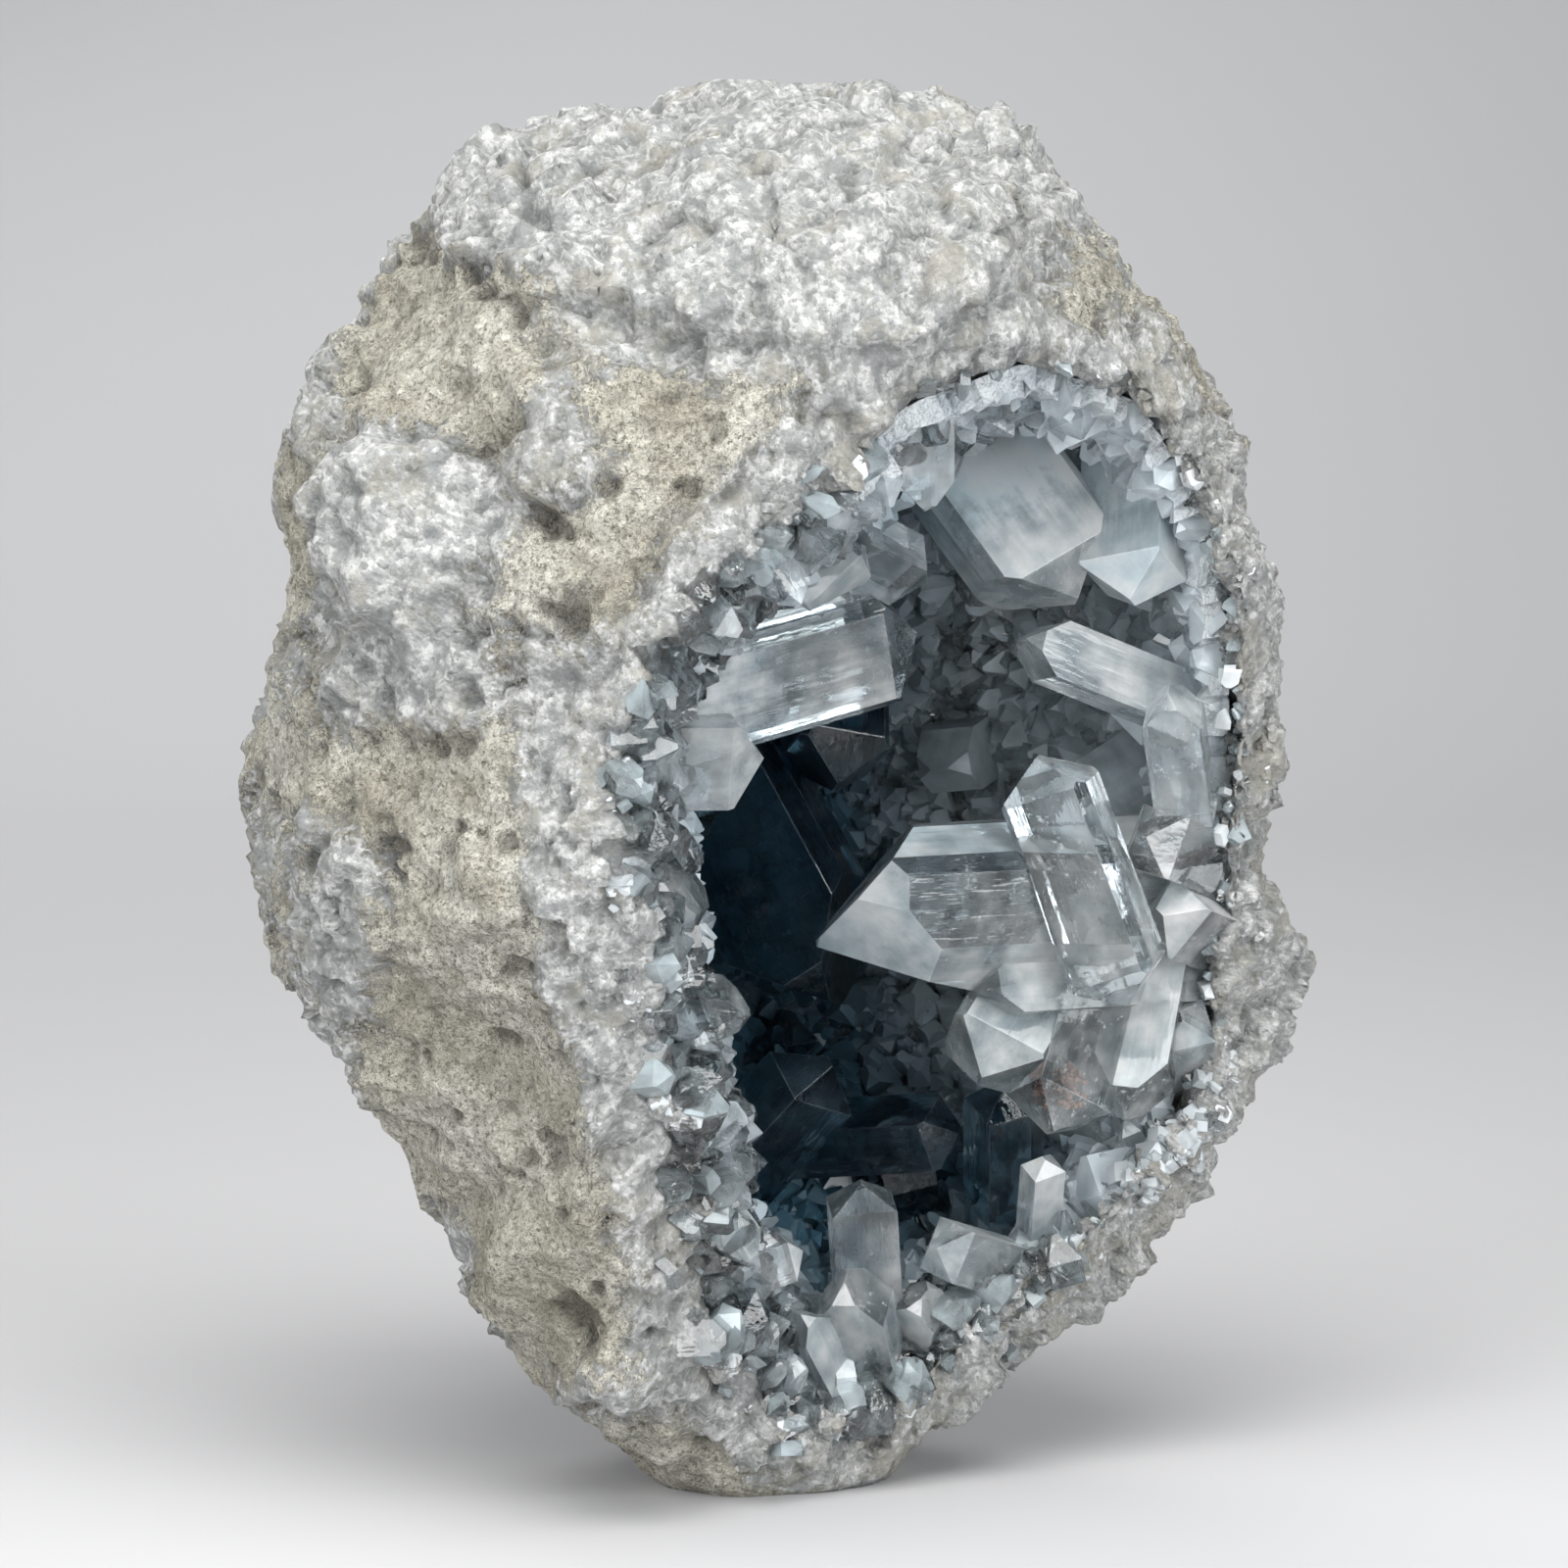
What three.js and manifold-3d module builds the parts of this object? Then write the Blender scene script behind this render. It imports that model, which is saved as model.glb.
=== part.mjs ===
// Celestite geode: an egg-shaped nodule of sandy marl and massive white celestite, broken open
// at the front right, and the crust of pale blue crystals that lines its hollow.
// Millimetres, +Z up, +X to the right, -Y out of the open side. The origin is the centre of the
// flat spot that the nodule stands on.

import * as THREE from "three";
import { ConvexGeometry } from "three/addons/geometries/ConvexGeometry.js";
import { ImprovedNoise } from "three/addons/math/ImprovedNoise.js";
import { mergeVertices } from "three/addons/utils/BufferGeometryUtils.js";
import Module from "manifold-3d";

const wasm = await Module();
wasm.setup();

// ---------------------------------------------------------------- driving dimensions

const FRONT_DEPTH = 50; // from the nodule's middle plane to its front
const BACK_DEPTH = 50; // and to its back
const SQUARENESS = 2.25; // 2 is an ellipse; more is fuller at the shoulders
const MIDDLE = new THREE.Vector3(0, 0, 72); // the point that the outside is measured from

const BREAK_NORMAL = new THREE.Vector3(0.56, -0.8, -0.21).normalize();
const BREAK_DISTANCE = 30.5; // from the middle to the plane of the broken face
const BREAK_ROUNDING = 5; // how softly the broken face runs into the skin

const HOLLOW_MIDDLE = new THREE.Vector3(11, 3, 62);
const HOLLOW_HALF_SIZE = new THREE.Vector3(34.5, 34, 47);
const MOUTH_FLARE = 0.0035; // how fast the mouth widens, per mm towards the front
const MOUTH_OUTER_END = -75; // along Y, from the hollow's middle
const MOUTH_INNER_END = 30; // where the mouth's walls have closed to a bowl

const CRUST_THICKNESS = 2.6;
const SEAT_GAP = 0.3; // between the crust and the rock that it lines
const RIM_STEP = 0.6; // the crust's edge lies this far under the broken face

const ROCK_DETAIL = 12; // divisions of an icosahedron's edge
const HOLLOW_DETAIL = 4;
const MOUTH_SIDES = 28;
const MOUTH_RINGS = 2; // along its straight part
const BOWL_RINGS = 3; // and along the bowl

// The silhouette from the front, as (x, z), clockwise from the top.
const SILHOUETTE = [
  [1, 142.3], [12.5, 140.9], [22, 138.4], [29, 131.8], [34.5, 123.4], [41, 118], [44.3, 109],
  [46.4, 101], [49.2, 93.5], [50.6, 86], [50.9, 76], [49, 65], [51, 57], [54, 49.5],
  [52.5, 40.5], [46.4, 33], [41, 26], [35.4, 19], [29, 12.3], [20.5, 8], [12, 1.5], [3, -3],
  [-9, -3.5], [-18.5, 2], [-25, 10], [-32, 18.4], [-35, 27.5], [-39, 34.5], [-47, 47],
  [-51.6, 54], [-53.5, 68], [-52.8, 83], [-50.8, 91], [-51.8, 100], [-50.5, 109], [-46.3, 117],
  [-40.6, 124], [-35, 132.3], [-26.7, 138], [-17, 140], [-7, 141.4],
];

// The edge of the mouth from the front, as (x, z), clockwise from its top notch.
const MOUTH = [
  [10, 104], [17, 108.5], [25, 110], [33, 108], [39.5, 101], [43.5, 91], [45, 78], [44.5, 64],
  [43, 52], [43.5, 43], [41, 36], [33, 29], [24, 24], [17.5, 17], [9, 10.5], [0, 11.5],
  [-4, 20], [-6.5, 30], [-6.5, 42], [-9, 50], [-10, 61], [-11.5, 68], [-10.5, 78], [-7, 86],
  [-1, 92], [6, 97],
];

// Lumps and ledges on the skin: where they sit, how far they reach across and up, how far they
// stand out, and how steep their edge is (0 fades out over the whole lump, 1 is a step).
const LUMPS = [
  { at: [5, -32, 127], across: 21, up: 13.5, out: 3.4, steep: 0.72 }, // cap of white celestite
  { at: [24, -30, 124], across: 8, up: 8, out: -2.2, steep: 0.5 },
  { at: [-36, -30, 97], across: 12.5, up: 12, out: 3.2, steep: 0.6 },
  { at: [-44, -22, 84], across: 9, up: 7, out: 1.6, steep: 0.6 },
  { at: [-21, -42, 107], across: 9.5, up: 10, out: 1.8, steep: 0.45 },
  { at: [-25, -36, 126], across: 9, up: 6, out: 1.6, steep: 0.4 },
  { at: [-28, -38, 118], across: 9, up: 5, out: -2.0, steep: 0.3 },
  { at: [-40, -26, 70], across: 7, up: 6, out: 1.6, steep: 0.5 },
  { at: [-30, -40, 46], across: 11, up: 9, out: -2.6, steep: 0.3 },
  { at: [-26, -38, 26], across: 12, up: 11, out: -1.8, steep: 0.2 },
  { at: [-17, -30, 16], across: 8.5, up: 7, out: 2.6, steep: 0.3 },
  { at: [-46, -22, 40], across: 8, up: 9, out: 1.2, steep: 0.3 },
  { at: [-2, -29, 6], across: 28, up: 25, out: -5.0, steep: 0.1 },
  { at: [52, 7, 54], across: 12, up: 8, out: 4.6, steep: 0.4 }, // nose under the right rim
  { at: [49, 4, 66], across: 8, up: 4, out: -1.5, steep: 0.3 },
  { at: [46, 6, 108], across: 8, up: 7, out: 1.8, steep: 0.4 },
  { at: [38, 22, 40], across: 14, up: 12, out: 2.4, steep: 0.4 },
  { at: [30, 34, 96], across: 15, up: 13, out: 3.2, steep: 0.6 },
  { at: [6, 46, 70], across: 14, up: 17, out: -2.6, steep: 0.3 },
  { at: [-22, 40, 92], across: 12, up: 10, out: 3.0, steep: 0.6 },
  { at: [-34, 32, 60], across: 13, up: 12, out: 2.2, steep: 0.5 },
  { at: [4, 38, 110], across: 13, up: 9, out: 2.4, steep: 0.6 },
  { at: [-6, 38, 32], across: 15, up: 10, out: 2.6, steep: 0.5 },
  { at: [-4, 10, 141], across: 17, up: 12, out: -1.6, steep: 0.2 },
];

// Slow swells of the rock, then its coarse lumpiness: size of a swell and its height.
const SWELLS = [
  { size: 27, height: 2.6 },
  { size: 11, height: 1.3 },
  { size: 5.5, height: 0.7 },
];

// Celestite's roof faces: half the angle at the ridge, for its blunt and its sharp roof.
const BLUNT_ROOF = THREE.MathUtils.degToRad(52);
const SHARP_ROOF = THREE.MathUtils.degToRad(39.4);
const BEVEL_TURN = THREE.MathUtils.degToRad(38); // the long bevels, from the broad side's plane
const BEVEL_REACH = 0.87; // how much of the corner they leave
const BEVELLED_FROM = 9; // narrower crystals have no long bevels

// The large crystals. Each grows from its root to its tip. wide is across the broad face and
// deep through it, turn rolls it about its length, and sharp says which roof its broad face
// shows. shift sets its sides off its tip, roof gives its own roof angles, and one that floats
// is tipped at both ends.
const LARGE_CRYSTALS = [
  { tip: [3.8, -14, 56.8], root: [44, 8, 57], wide: 16.4, deep: 12, shift: 2.2, roof: [49, 20] },
  { tip: [35, -7, 49.2], root: [25.5, -8, 74.5], wide: 9.4, deep: 7.5, turn: 20, floats: true },
  { tip: [19, -8, 50.8], root: [44, 6, 50.6], wide: 6.4, deep: 6, turn: 20, sharp: true },
  { tip: [19.8, -9, 41.6], root: [30, 6, 56], wide: 11, deep: 8, turn: 12, sharp: false },
  { tip: [26.9, -9, 36.4], root: [33, 3, 55], wide: 8.6, deep: 7, turn: -20, sharp: false },
  { tip: [34.5, -6, 37.7], root: [38.5, 5, 55], wide: 8, deep: 6.5, turn: 15, sharp: true },
  { tip: [7.7, -12, 31.9], root: [9, -5, 10], wide: 6.6, deep: 5, turn: 6, sharp: false },
  { tip: [6.2, -15, 22.8], root: [9, -7, 10], wide: 7.2, deep: 5.6, turn: -18, sharp: true },
  { tip: [1.2, -17, 19.4], root: [5.5, -10, 10], wide: 4.2, deep: 3.4, turn: 40, sharp: true },
  { tip: [14.2, -12, 20.5], root: [13, -2, 12], wide: 5, deep: 4, turn: -25, sharp: true },
  { tip: [12.8, -20, 88], root: [-15, -29, 80.5], wide: 11.5, deep: 9, turn: 20, sharp: false },
  { tip: [14, -14, 92.6], root: [2, -21, 99], wide: 6, deep: 5, turn: 35, sharp: false },
  { tip: [7.7, -22, 97.5], root: [1, -24, 91], wide: 5.5, deep: 5, turn: -30, sharp: false },
  { tip: [29.5, -6, 90], root: [14.5, 2, 110.5], wide: 15.5, deep: 8, turn: -22, sharp: false },
  { tip: [35, -8, 90], root: [36, 3, 108], wide: 8.8, deep: 7.5, turn: 28, sharp: false },
  { tip: [23.9, -6, 86.2], root: [43, 3, 78], wide: 6, deep: 5, turn: 20, sharp: true },
  { tip: [38.6, -10, 81.5], root: [41, -2, 68], wide: 5.8, deep: 4.4, turn: -15, sharp: true },
  { tip: [-2.1, -29, 76.3], root: [-16, -32, 76.4], wide: 8.4, deep: 8, turn: 14, sharp: false },
  { tip: [-7.4, -33, 62.9], root: [-22, -37, 63.5], wide: 9.5, deep: 8, turn: 40, sharp: true },
  { tip: [-3.3, -30, 51.4], root: [-15, -33, 53], wide: 5, deep: 4.4, turn: 28, sharp: true },
  { tip: [-3, -25, 25.5], root: [-11, -26, 37], wide: 5, deep: 4.2, turn: -12, sharp: true },
  { tip: [1.8, -17, 25.8], root: [-8, -20, 22.5], wide: 4.4, deep: 3.6, turn: 18, sharp: false },
  { tip: [15, -12, 25.3], root: [25, 0, 20.5], wide: 5.6, deep: 5, turn: 5, sharp: false },
  { tip: [26.4, -6, 33.4], root: [26, 1, 23], wide: 3.6, deep: 3, turn: 30, sharp: false },
  { tip: [36, -8, 66.5], root: [44.5, 4, 62], wide: 6.5, deep: 6, turn: 10, sharp: false },
  { tip: [38, -6, 58.5], root: [45, 5, 55], wide: 6.5, deep: 6, turn: -14, sharp: false },
  { tip: [40.5, -3, 47.5], root: [41, 8, 40], wide: 6, deep: 5, turn: 10, sharp: false },
  { tip: [5.4, 8, 47.5], root: [-14, 24, 82], wide: 17, deep: 11, turn: 14, sharp: true },
  { tip: [5.3, 12, 69.6], root: [5, 25, 90], wide: 10, deep: 9, turn: -22, sharp: false },
  { tip: [4.8, 5, 41.8], root: [-12, 14, 22], wide: 8.5, deep: 7, turn: 20, sharp: false },
  { tip: [18.3, 7, 34.3], root: [1, 16, 32], wide: 6, deep: 6, turn: -10, sharp: false },
  { tip: [22.6, 3, 40], root: [23, 12, 20], wide: 6.4, deep: 6, turn: 25, sharp: false },
  { tip: [28, 8, 66], root: [40, 24, 72], wide: 8, deep: 7, turn: 15, sharp: true },
];

// The middling crystals stand all over the wall of the hollow, one at each point of a spiral.
const WALL_POINTS = 34;
const WALL_LENGTH = [6, 11];
const WALL_WIDTH = [5, 8.5];
const WALL_LEAN = 0.5; // how far they lean from square to the wall
const WALL_ROOT = 1.4; // how deep they stand in the crust
const WALL_FRONT_LIMIT = 0.62; // none stands further than this towards the mouth
const WALL_BEHIND_BREAK = 6; // or nearer than this to the plane of the broken face

// ---------------------------------------------------------------- shapes

const noise = new ImprovedNoise();

// The distance from a centre to a closed smooth curve through points, for any angle.
function radiusOfOutline(points, centreX, centreZ) {
  const knots = points.map(([x, z]) => new THREE.Vector3(x - centreX, 0, z - centreZ));
  const samples = new THREE.CatmullRomCurve3(knots, true)
    .getPoints(points.length * 12)
    .slice(1)
    .map((p) => ({ angle: Math.atan2(p.z, p.x), radius: Math.hypot(p.x, p.z) }))
    .sort((a, b) => a.angle - b.angle);
  return (angle) => {
    const found = samples.findIndex((s) => s.angle > angle);
    const next = samples[found < 0 ? 0 : found];
    const last = samples.at(found < 0 ? -1 : found - 1);
    const turn = 2 * Math.PI;
    const span = (next.angle - last.angle + turn) % turn;
    const share = ((angle - last.angle + turn) % turn) / span;
    return THREE.MathUtils.lerp(last.radius, next.radius, share);
  };
}

const silhouetteRadius = radiusOfOutline(SILHOUETTE, MIDDLE.x, MIDDLE.z);
const mouthRadius = radiusOfOutline(MOUTH, HOLLOW_MIDDLE.x, HOLLOW_MIDDLE.z);

// The smaller of two distances, with a rounded corner where they meet.
function softMinimum(a, b, rounding) {
  const share = THREE.MathUtils.clamp(0.5 + (0.5 * (b - a)) / rounding, 0, 1);
  return THREE.MathUtils.lerp(b, a, share) - rounding * share * (1 - share);
}

function swell(point) {
  return SWELLS.reduce(
    (sum, { size, height }) =>
      sum + height * noise.noise(point.x / size + 7.3, point.y / size, point.z / size + 2.1),
    0,
  );
}

// The nodule before it has lumps: full in plan, with the silhouette from the front.
function eggRadius(d) {
  const outline = silhouetteRadius(Math.atan2(d.z, d.x));
  const depth = d.y < 0 ? FRONT_DEPTH : BACK_DEPTH;
  const inPlane = (Math.hypot(d.x, d.z) / outline) ** SQUARENESS;
  const across = (Math.abs(d.y) / depth) ** SQUARENESS;
  return (inPlane + across) ** (-1 / SQUARENESS);
}

// Each lump is held as the point of the egg that lies under it.
const lumps = LUMPS.map((lump) => {
  const d = new THREE.Vector3(...lump.at).sub(MIDDLE).normalize();
  return { ...lump, seat: d.clone().multiplyScalar(eggRadius(d)) };
});

function lumpHeight(point) {
  return lumps.reduce((sum, { seat, across, up, out, steep }) => {
    const sideways = Math.hypot(point.x - seat.x, point.y - seat.y) / across;
    const reach = Math.hypot(sideways, (point.z - seat.z) / up);
    return sum + out * (1 - THREE.MathUtils.smoothstep(reach, steep, 1));
  }, 0);
}

function rockRadius(d) {
  const egg = eggRadius(d);
  const point = d.clone().multiplyScalar(egg);
  const skin = egg + lumpHeight(point) + swell(point);
  const towardsBreak = d.dot(BREAK_NORMAL);
  if (towardsBreak < 0.1) return skin;
  return softMinimum(skin, (BREAK_DISTANCE + 0.5 * swell(point)) / towardsBreak, BREAK_ROUNDING);
}

function hollowRadius(d) {
  const { x, y, z } = HOLLOW_HALF_SIZE;
  const smooth = 1 / Math.hypot(d.x / x, d.y / y, d.z / z);
  return smooth + 0.7 * swell(d.clone().multiplyScalar(smooth));
}

// The mouth's wall, seen from the hollow's middle.
function mouthWall(d) {
  const edge = mouthRadius(Math.atan2(d.z, d.x));
  const sideways = Math.hypot(d.x, d.z);
  if (d.y >= 0) return 1 / Math.hypot(sideways / edge, d.y / MOUTH_INNER_END);
  return edge / Math.max(sideways + MOUTH_FLARE * edge * d.y, 0.01);
}

// ---------------------------------------------------------------- solids

// A closed mesh of three.js as a solid that can be joined and cut.
function solidOf(geometry) {
  const bare = geometry.clone();
  bare.deleteAttribute("normal");
  bare.deleteAttribute("uv");
  const merged = mergeVertices(bare, 1e-4);
  return new wasm.Manifold(
    new wasm.Mesh({
      numProp: 3,
      vertProperties: merged.attributes.position.array,
      triVerts: new Uint32Array(merged.index.array),
    }),
  );
}

// A round solid about a middle point, as far out in each direction as radius says.
function starSolid(middle, radius, detail) {
  const geometry = new THREE.IcosahedronGeometry(1, detail);
  const place = geometry.attributes.position;
  const point = new THREE.Vector3();
  for (let i = 0; i < place.count; i += 1) {
    point.fromBufferAttribute(place, i).normalize();
    point.multiplyScalar(radius(point)).add(middle);
    place.setXYZ(i, point.x, point.y, point.z);
  }
  return solidOf(geometry);
}

// The way in through the mouth, as a lathe about Y whose sides follow the mouth's edge and
// whose inner end is a bowl.
function mouthSolid(inset) {
  const profile = [new THREE.Vector2(0, MOUTH_OUTER_END)];
  for (let ring = 0; ring < MOUTH_RINGS; ring += 1) {
    profile.push(new THREE.Vector2(1, MOUTH_OUTER_END * (1 - ring / MOUTH_RINGS)));
  }
  for (let ring = 0; ring < BOWL_RINGS; ring += 1) {
    const turn = ((Math.PI / 2) * ring) / BOWL_RINGS;
    const depth = MOUTH_INNER_END - inset;
    profile.push(new THREE.Vector2(Math.cos(turn), depth * Math.sin(turn)));
  }
  profile.push(new THREE.Vector2(0, MOUTH_INNER_END - inset));
  const geometry = new THREE.LatheGeometry(profile, MOUTH_SIDES);
  const place = geometry.attributes.position;
  const point = new THREE.Vector3();
  for (let i = 0; i < place.count; i += 1) {
    point.fromBufferAttribute(place, i);
    const flare = 1 - MOUTH_FLARE * Math.min(point.y, 0);
    const edge = mouthRadius(Math.atan2(point.z, point.x)) * flare - inset;
    point.set(point.x * edge, point.y, point.z * edge).add(HOLLOW_MIDDLE);
    place.setXYZ(i, point.x, point.y, point.z);
  }
  return solidOf(geometry);
}

function cavitySolid(inset) {
  const hollow = starSolid(HOLLOW_MIDDLE, (d) => hollowRadius(d) - inset, HOLLOW_DETAIL);
  return hollow.add(mouthSolid(inset));
}

// The corners of the convex body that a list of planes encloses. A plane is [normal, distance].
function cornersOf(planes) {
  const corners = [];
  const cut = new THREE.Matrix3();
  planes.forEach(([a, distanceA], i) =>
    planes.slice(i + 1).forEach(([b, distanceB], j) =>
      planes.slice(i + j + 2).forEach(([c, distanceC]) => {
        cut.set(a.x, a.y, a.z, b.x, b.y, b.z, c.x, c.y, c.z);
        if (Math.abs(cut.determinant()) < 1e-6) return;
        const corner = new THREE.Vector3(distanceA, distanceB, distanceC);
        corner.applyMatrix3(cut.invert());
        if (planes.every(([n, distance]) => n.dot(corner) < distance + 1e-6)) corners.push(corner);
      }),
    ),
  );
  return corners;
}

// A celestite crystal: broad faces, long bevels, and two crossing roofs at its tip.
function crystalSolid({ tip, root, wide, deep, turn = 0, shift = 0, sharp, roof, floats }) {
  const foot = new THREE.Vector3(...root);
  const along = new THREE.Vector3(...tip).sub(foot);
  const length = along.length();
  along.normalize();
  const sideways = new THREE.Vector3(0, 1, 0).cross(along).normalize();
  sideways.applyAxisAngle(along, THREE.MathUtils.degToRad(turn));
  const through = along.clone().cross(sideways);
  const plane = (side, back, up, distance) => [new THREE.Vector3(side, back, up), distance];
  const signs = [-1, 1];
  const bevelSide = Math.cos(BEVEL_TURN);
  const bevelBack = Math.sin(BEVEL_TURN);
  const bevel = BEVEL_REACH * 0.5 * (bevelSide * wide + bevelBack * deep);
  const bevels = signs.flatMap((s) =>
    signs.map((t) => plane(s * bevelSide, t * bevelBack, 0, bevel + s * shift * bevelSide)),
  );
  const [broad, narrow] = sharp ? [SHARP_ROOF, BLUNT_ROOF] : [BLUNT_ROOF, SHARP_ROOF];
  const [left, right] = roof ? roof.map(THREE.MathUtils.degToRad) : [broad, broad];
  const lift = 0.12 * deep;
  const roofs = (end, from) => [
    plane(Math.cos(left), 0, end * Math.sin(left), from * Math.sin(left)),
    plane(-Math.cos(right), 0, end * Math.sin(right), from * Math.sin(right)),
    ...signs.map((s) =>
      plane(0, s * Math.cos(narrow), end * Math.sin(narrow), (from + lift) * Math.sin(narrow)),
    ),
  ];
  const planes = [
    ...signs.map((s) => plane(s, 0, 0, wide / 2 + s * shift)),
    ...signs.map((s) => plane(0, s, 0, deep / 2)),
    ...(wide < BEVELLED_FROM ? [] : bevels),
    ...roofs(1, length),
    ...(floats ? roofs(-1, 0) : [plane(0, 0, -1, 0)]),
  ];
  const frame = new THREE.Matrix4().makeBasis(sideways, through, along).setPosition(foot);
  return solidOf(new ConvexGeometry(cornersOf(planes).map((c) => c.applyMatrix4(frame))));
}

// A number from 0 to 1 that looks random, the same for the same pair each time.
function chance(index, kind) {
  const value = Math.sin(index * 12.9898 + kind * 78.233) * 43758.5453;
  return value - Math.floor(value);
}

function wallCrystals() {
  const found = [];
  for (let i = 0; i < WALL_POINTS; i += 1) {
    const up = 1 - (2 * (i + 0.5)) / WALL_POINTS;
    const turn = i * Math.PI * (3 - Math.sqrt(5));
    const flat = Math.sqrt(1 - up * up);
    const d = new THREE.Vector3(flat * Math.cos(turn), flat * Math.sin(turn), up);
    if (-d.y > WALL_FRONT_LIMIT) continue;
    const reach = Math.max(hollowRadius(d), mouthWall(d)) - SEAT_GAP - CRUST_THICKNESS;
    const lean = new THREE.Vector3(chance(i, 1), chance(i, 2), chance(i, 3)).subScalar(0.5);
    const inward = d.clone().negate().addScaledVector(lean, 2 * WALL_LEAN).normalize();
    const wall = HOLLOW_MIDDLE.clone().addScaledVector(d, reach);
    const forward = wall.clone().sub(MIDDLE).dot(BREAK_NORMAL);
    if (forward > BREAK_DISTANCE - WALL_BEHIND_BREAK) continue;
    const length = THREE.MathUtils.lerp(...WALL_LENGTH, chance(i, 4));
    const wide = THREE.MathUtils.lerp(...WALL_WIDTH, chance(i, 5));
    found.push({
      tip: wall.clone().addScaledVector(inward, length).toArray(),
      root: wall.clone().addScaledVector(inward, -WALL_ROOT).toArray(),
      wide,
      deep: wide * (0.65 + 0.25 * chance(i, 6)),
      turn: 180 * chance(i, 7),
      sharp: chance(i, 8) < 0.5,
    });
  }
  return found;
}

// ---------------------------------------------------------------- the two pieces

function biggestPiece(solid) {
  return solid.decompose().reduce((a, b) => (a.volume() > b.volume() ? a : b));
}

// Everything under the flat spot, as a box with its top face at the given height.
function ground(top) {
  const box = new THREE.BoxGeometry(200, 200, 50).toNonIndexed();
  return solidOf(box.translate(0, 0, top - 25));
}

function nodule() {
  const rock = starSolid(MIDDLE, rockRadius, ROCK_DETAIL);
  return biggestPiece(rock.subtract(ground(0)).subtract(cavitySolid(0)));
}

function crystalCrust() {
  const inside = starSolid(MIDDLE, (d) => rockRadius(d) - RIM_STEP, ROCK_DETAIL);
  const lining = cavitySolid(SEAT_GAP)
    .subtract(cavitySolid(SEAT_GAP + CRUST_THICKNESS))
    .intersect(inside);
  const around = starSolid(MIDDLE, (d) => rockRadius(d) + SEAT_GAP, ROCK_DETAIL);
  const rockWithGap = around.subtract(cavitySolid(SEAT_GAP));
  const crystals = [...LARGE_CRYSTALS, ...wallCrystals()].map(crystalSolid);
  const grown = crystals.reduce((all, one) => all.add(one), lining);
  return biggestPiece(grown.subtract(rockWithGap).subtract(ground(SEAT_GAP)));
}

// ---------------------------------------------------------------- the model

function piece(name, solid, material) {
  const { numProp, vertProperties, triVerts } = solid.getMesh();
  const interleaved = new THREE.InterleavedBuffer(new Float32Array(vertProperties), numProp);
  const geometry = new THREE.BufferGeometry()
    .setAttribute("position", new THREE.InterleavedBufferAttribute(interleaved, 3, 0))
    .setIndex(new THREE.BufferAttribute(new Uint32Array(triVerts), 1))
    .toNonIndexed();
  geometry.computeVertexNormals();
  const mesh = new THREE.Mesh(geometry, material);
  mesh.name = name;
  return mesh;
}

const marl = new THREE.MeshStandardMaterial({ color: 0xb9b2a2, roughness: 0.95, metalness: 0 });
const celestite = new THREE.MeshStandardMaterial({ color: 0x9fb4c2, roughness: 0.15, metalness: 0 });

const geode = new THREE.Group();
geode.add(piece("rock_nodule", nodule(), marl));
geode.add(piece("crystal_crust", crystalCrust(), celestite));

export default geode;
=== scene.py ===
import itertools
import math

import bpy
import numpy as np
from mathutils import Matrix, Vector, noise
from mathutils.bvhtree import BVHTree


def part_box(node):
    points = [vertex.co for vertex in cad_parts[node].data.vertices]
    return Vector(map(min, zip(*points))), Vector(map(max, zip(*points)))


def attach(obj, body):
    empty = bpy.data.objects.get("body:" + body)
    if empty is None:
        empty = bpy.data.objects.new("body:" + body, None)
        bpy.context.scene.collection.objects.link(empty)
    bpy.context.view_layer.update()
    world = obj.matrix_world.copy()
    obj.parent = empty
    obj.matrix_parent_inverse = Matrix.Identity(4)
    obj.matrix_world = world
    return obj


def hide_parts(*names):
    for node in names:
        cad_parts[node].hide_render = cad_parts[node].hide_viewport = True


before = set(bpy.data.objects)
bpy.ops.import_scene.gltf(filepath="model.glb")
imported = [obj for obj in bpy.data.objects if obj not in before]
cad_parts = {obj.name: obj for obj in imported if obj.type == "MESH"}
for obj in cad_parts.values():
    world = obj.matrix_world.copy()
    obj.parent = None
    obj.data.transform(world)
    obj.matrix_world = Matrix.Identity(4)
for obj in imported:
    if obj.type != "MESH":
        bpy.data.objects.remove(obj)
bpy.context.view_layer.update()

# ---------------------------------------------------------------- table and light
# The geode stands on a pale table top that sweeps up behind it. One wide soft light hangs over
# it and a little in front, one stands at the left, one at the right faces the hollow, and a
# weaker one behind keeps the back from going dark.


class Link:
    """An output of a node in a finish. Arithmetic on it adds Math nodes."""

    def __init__(self, finish, socket):
        self.finish, self.socket = finish, socket

    def maths(self, operation, *terms):
        return self.finish.node("Math", {"operation": operation}, dict(enumerate(terms)))

    def __add__(self, other):
        return self.maths("ADD", self, other)

    def __sub__(self, other):
        return self.maths("SUBTRACT", self, other)

    def __rsub__(self, other):
        return self.maths("SUBTRACT", other, self)

    def __mul__(self, other):
        return self.maths("MULTIPLY", self, other)

    __radd__, __rmul__ = __add__, __mul__

    def within(self, low, high):
        """0 below low, 1 above high, with a smooth ramp between them."""
        settings = {"interpolation_type": "SMOOTHSTEP", "clamp": True}
        sockets = {"Value": self, "From Min": low, "From Max": high}
        return self.finish.node("MapRange", settings, sockets)


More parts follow.
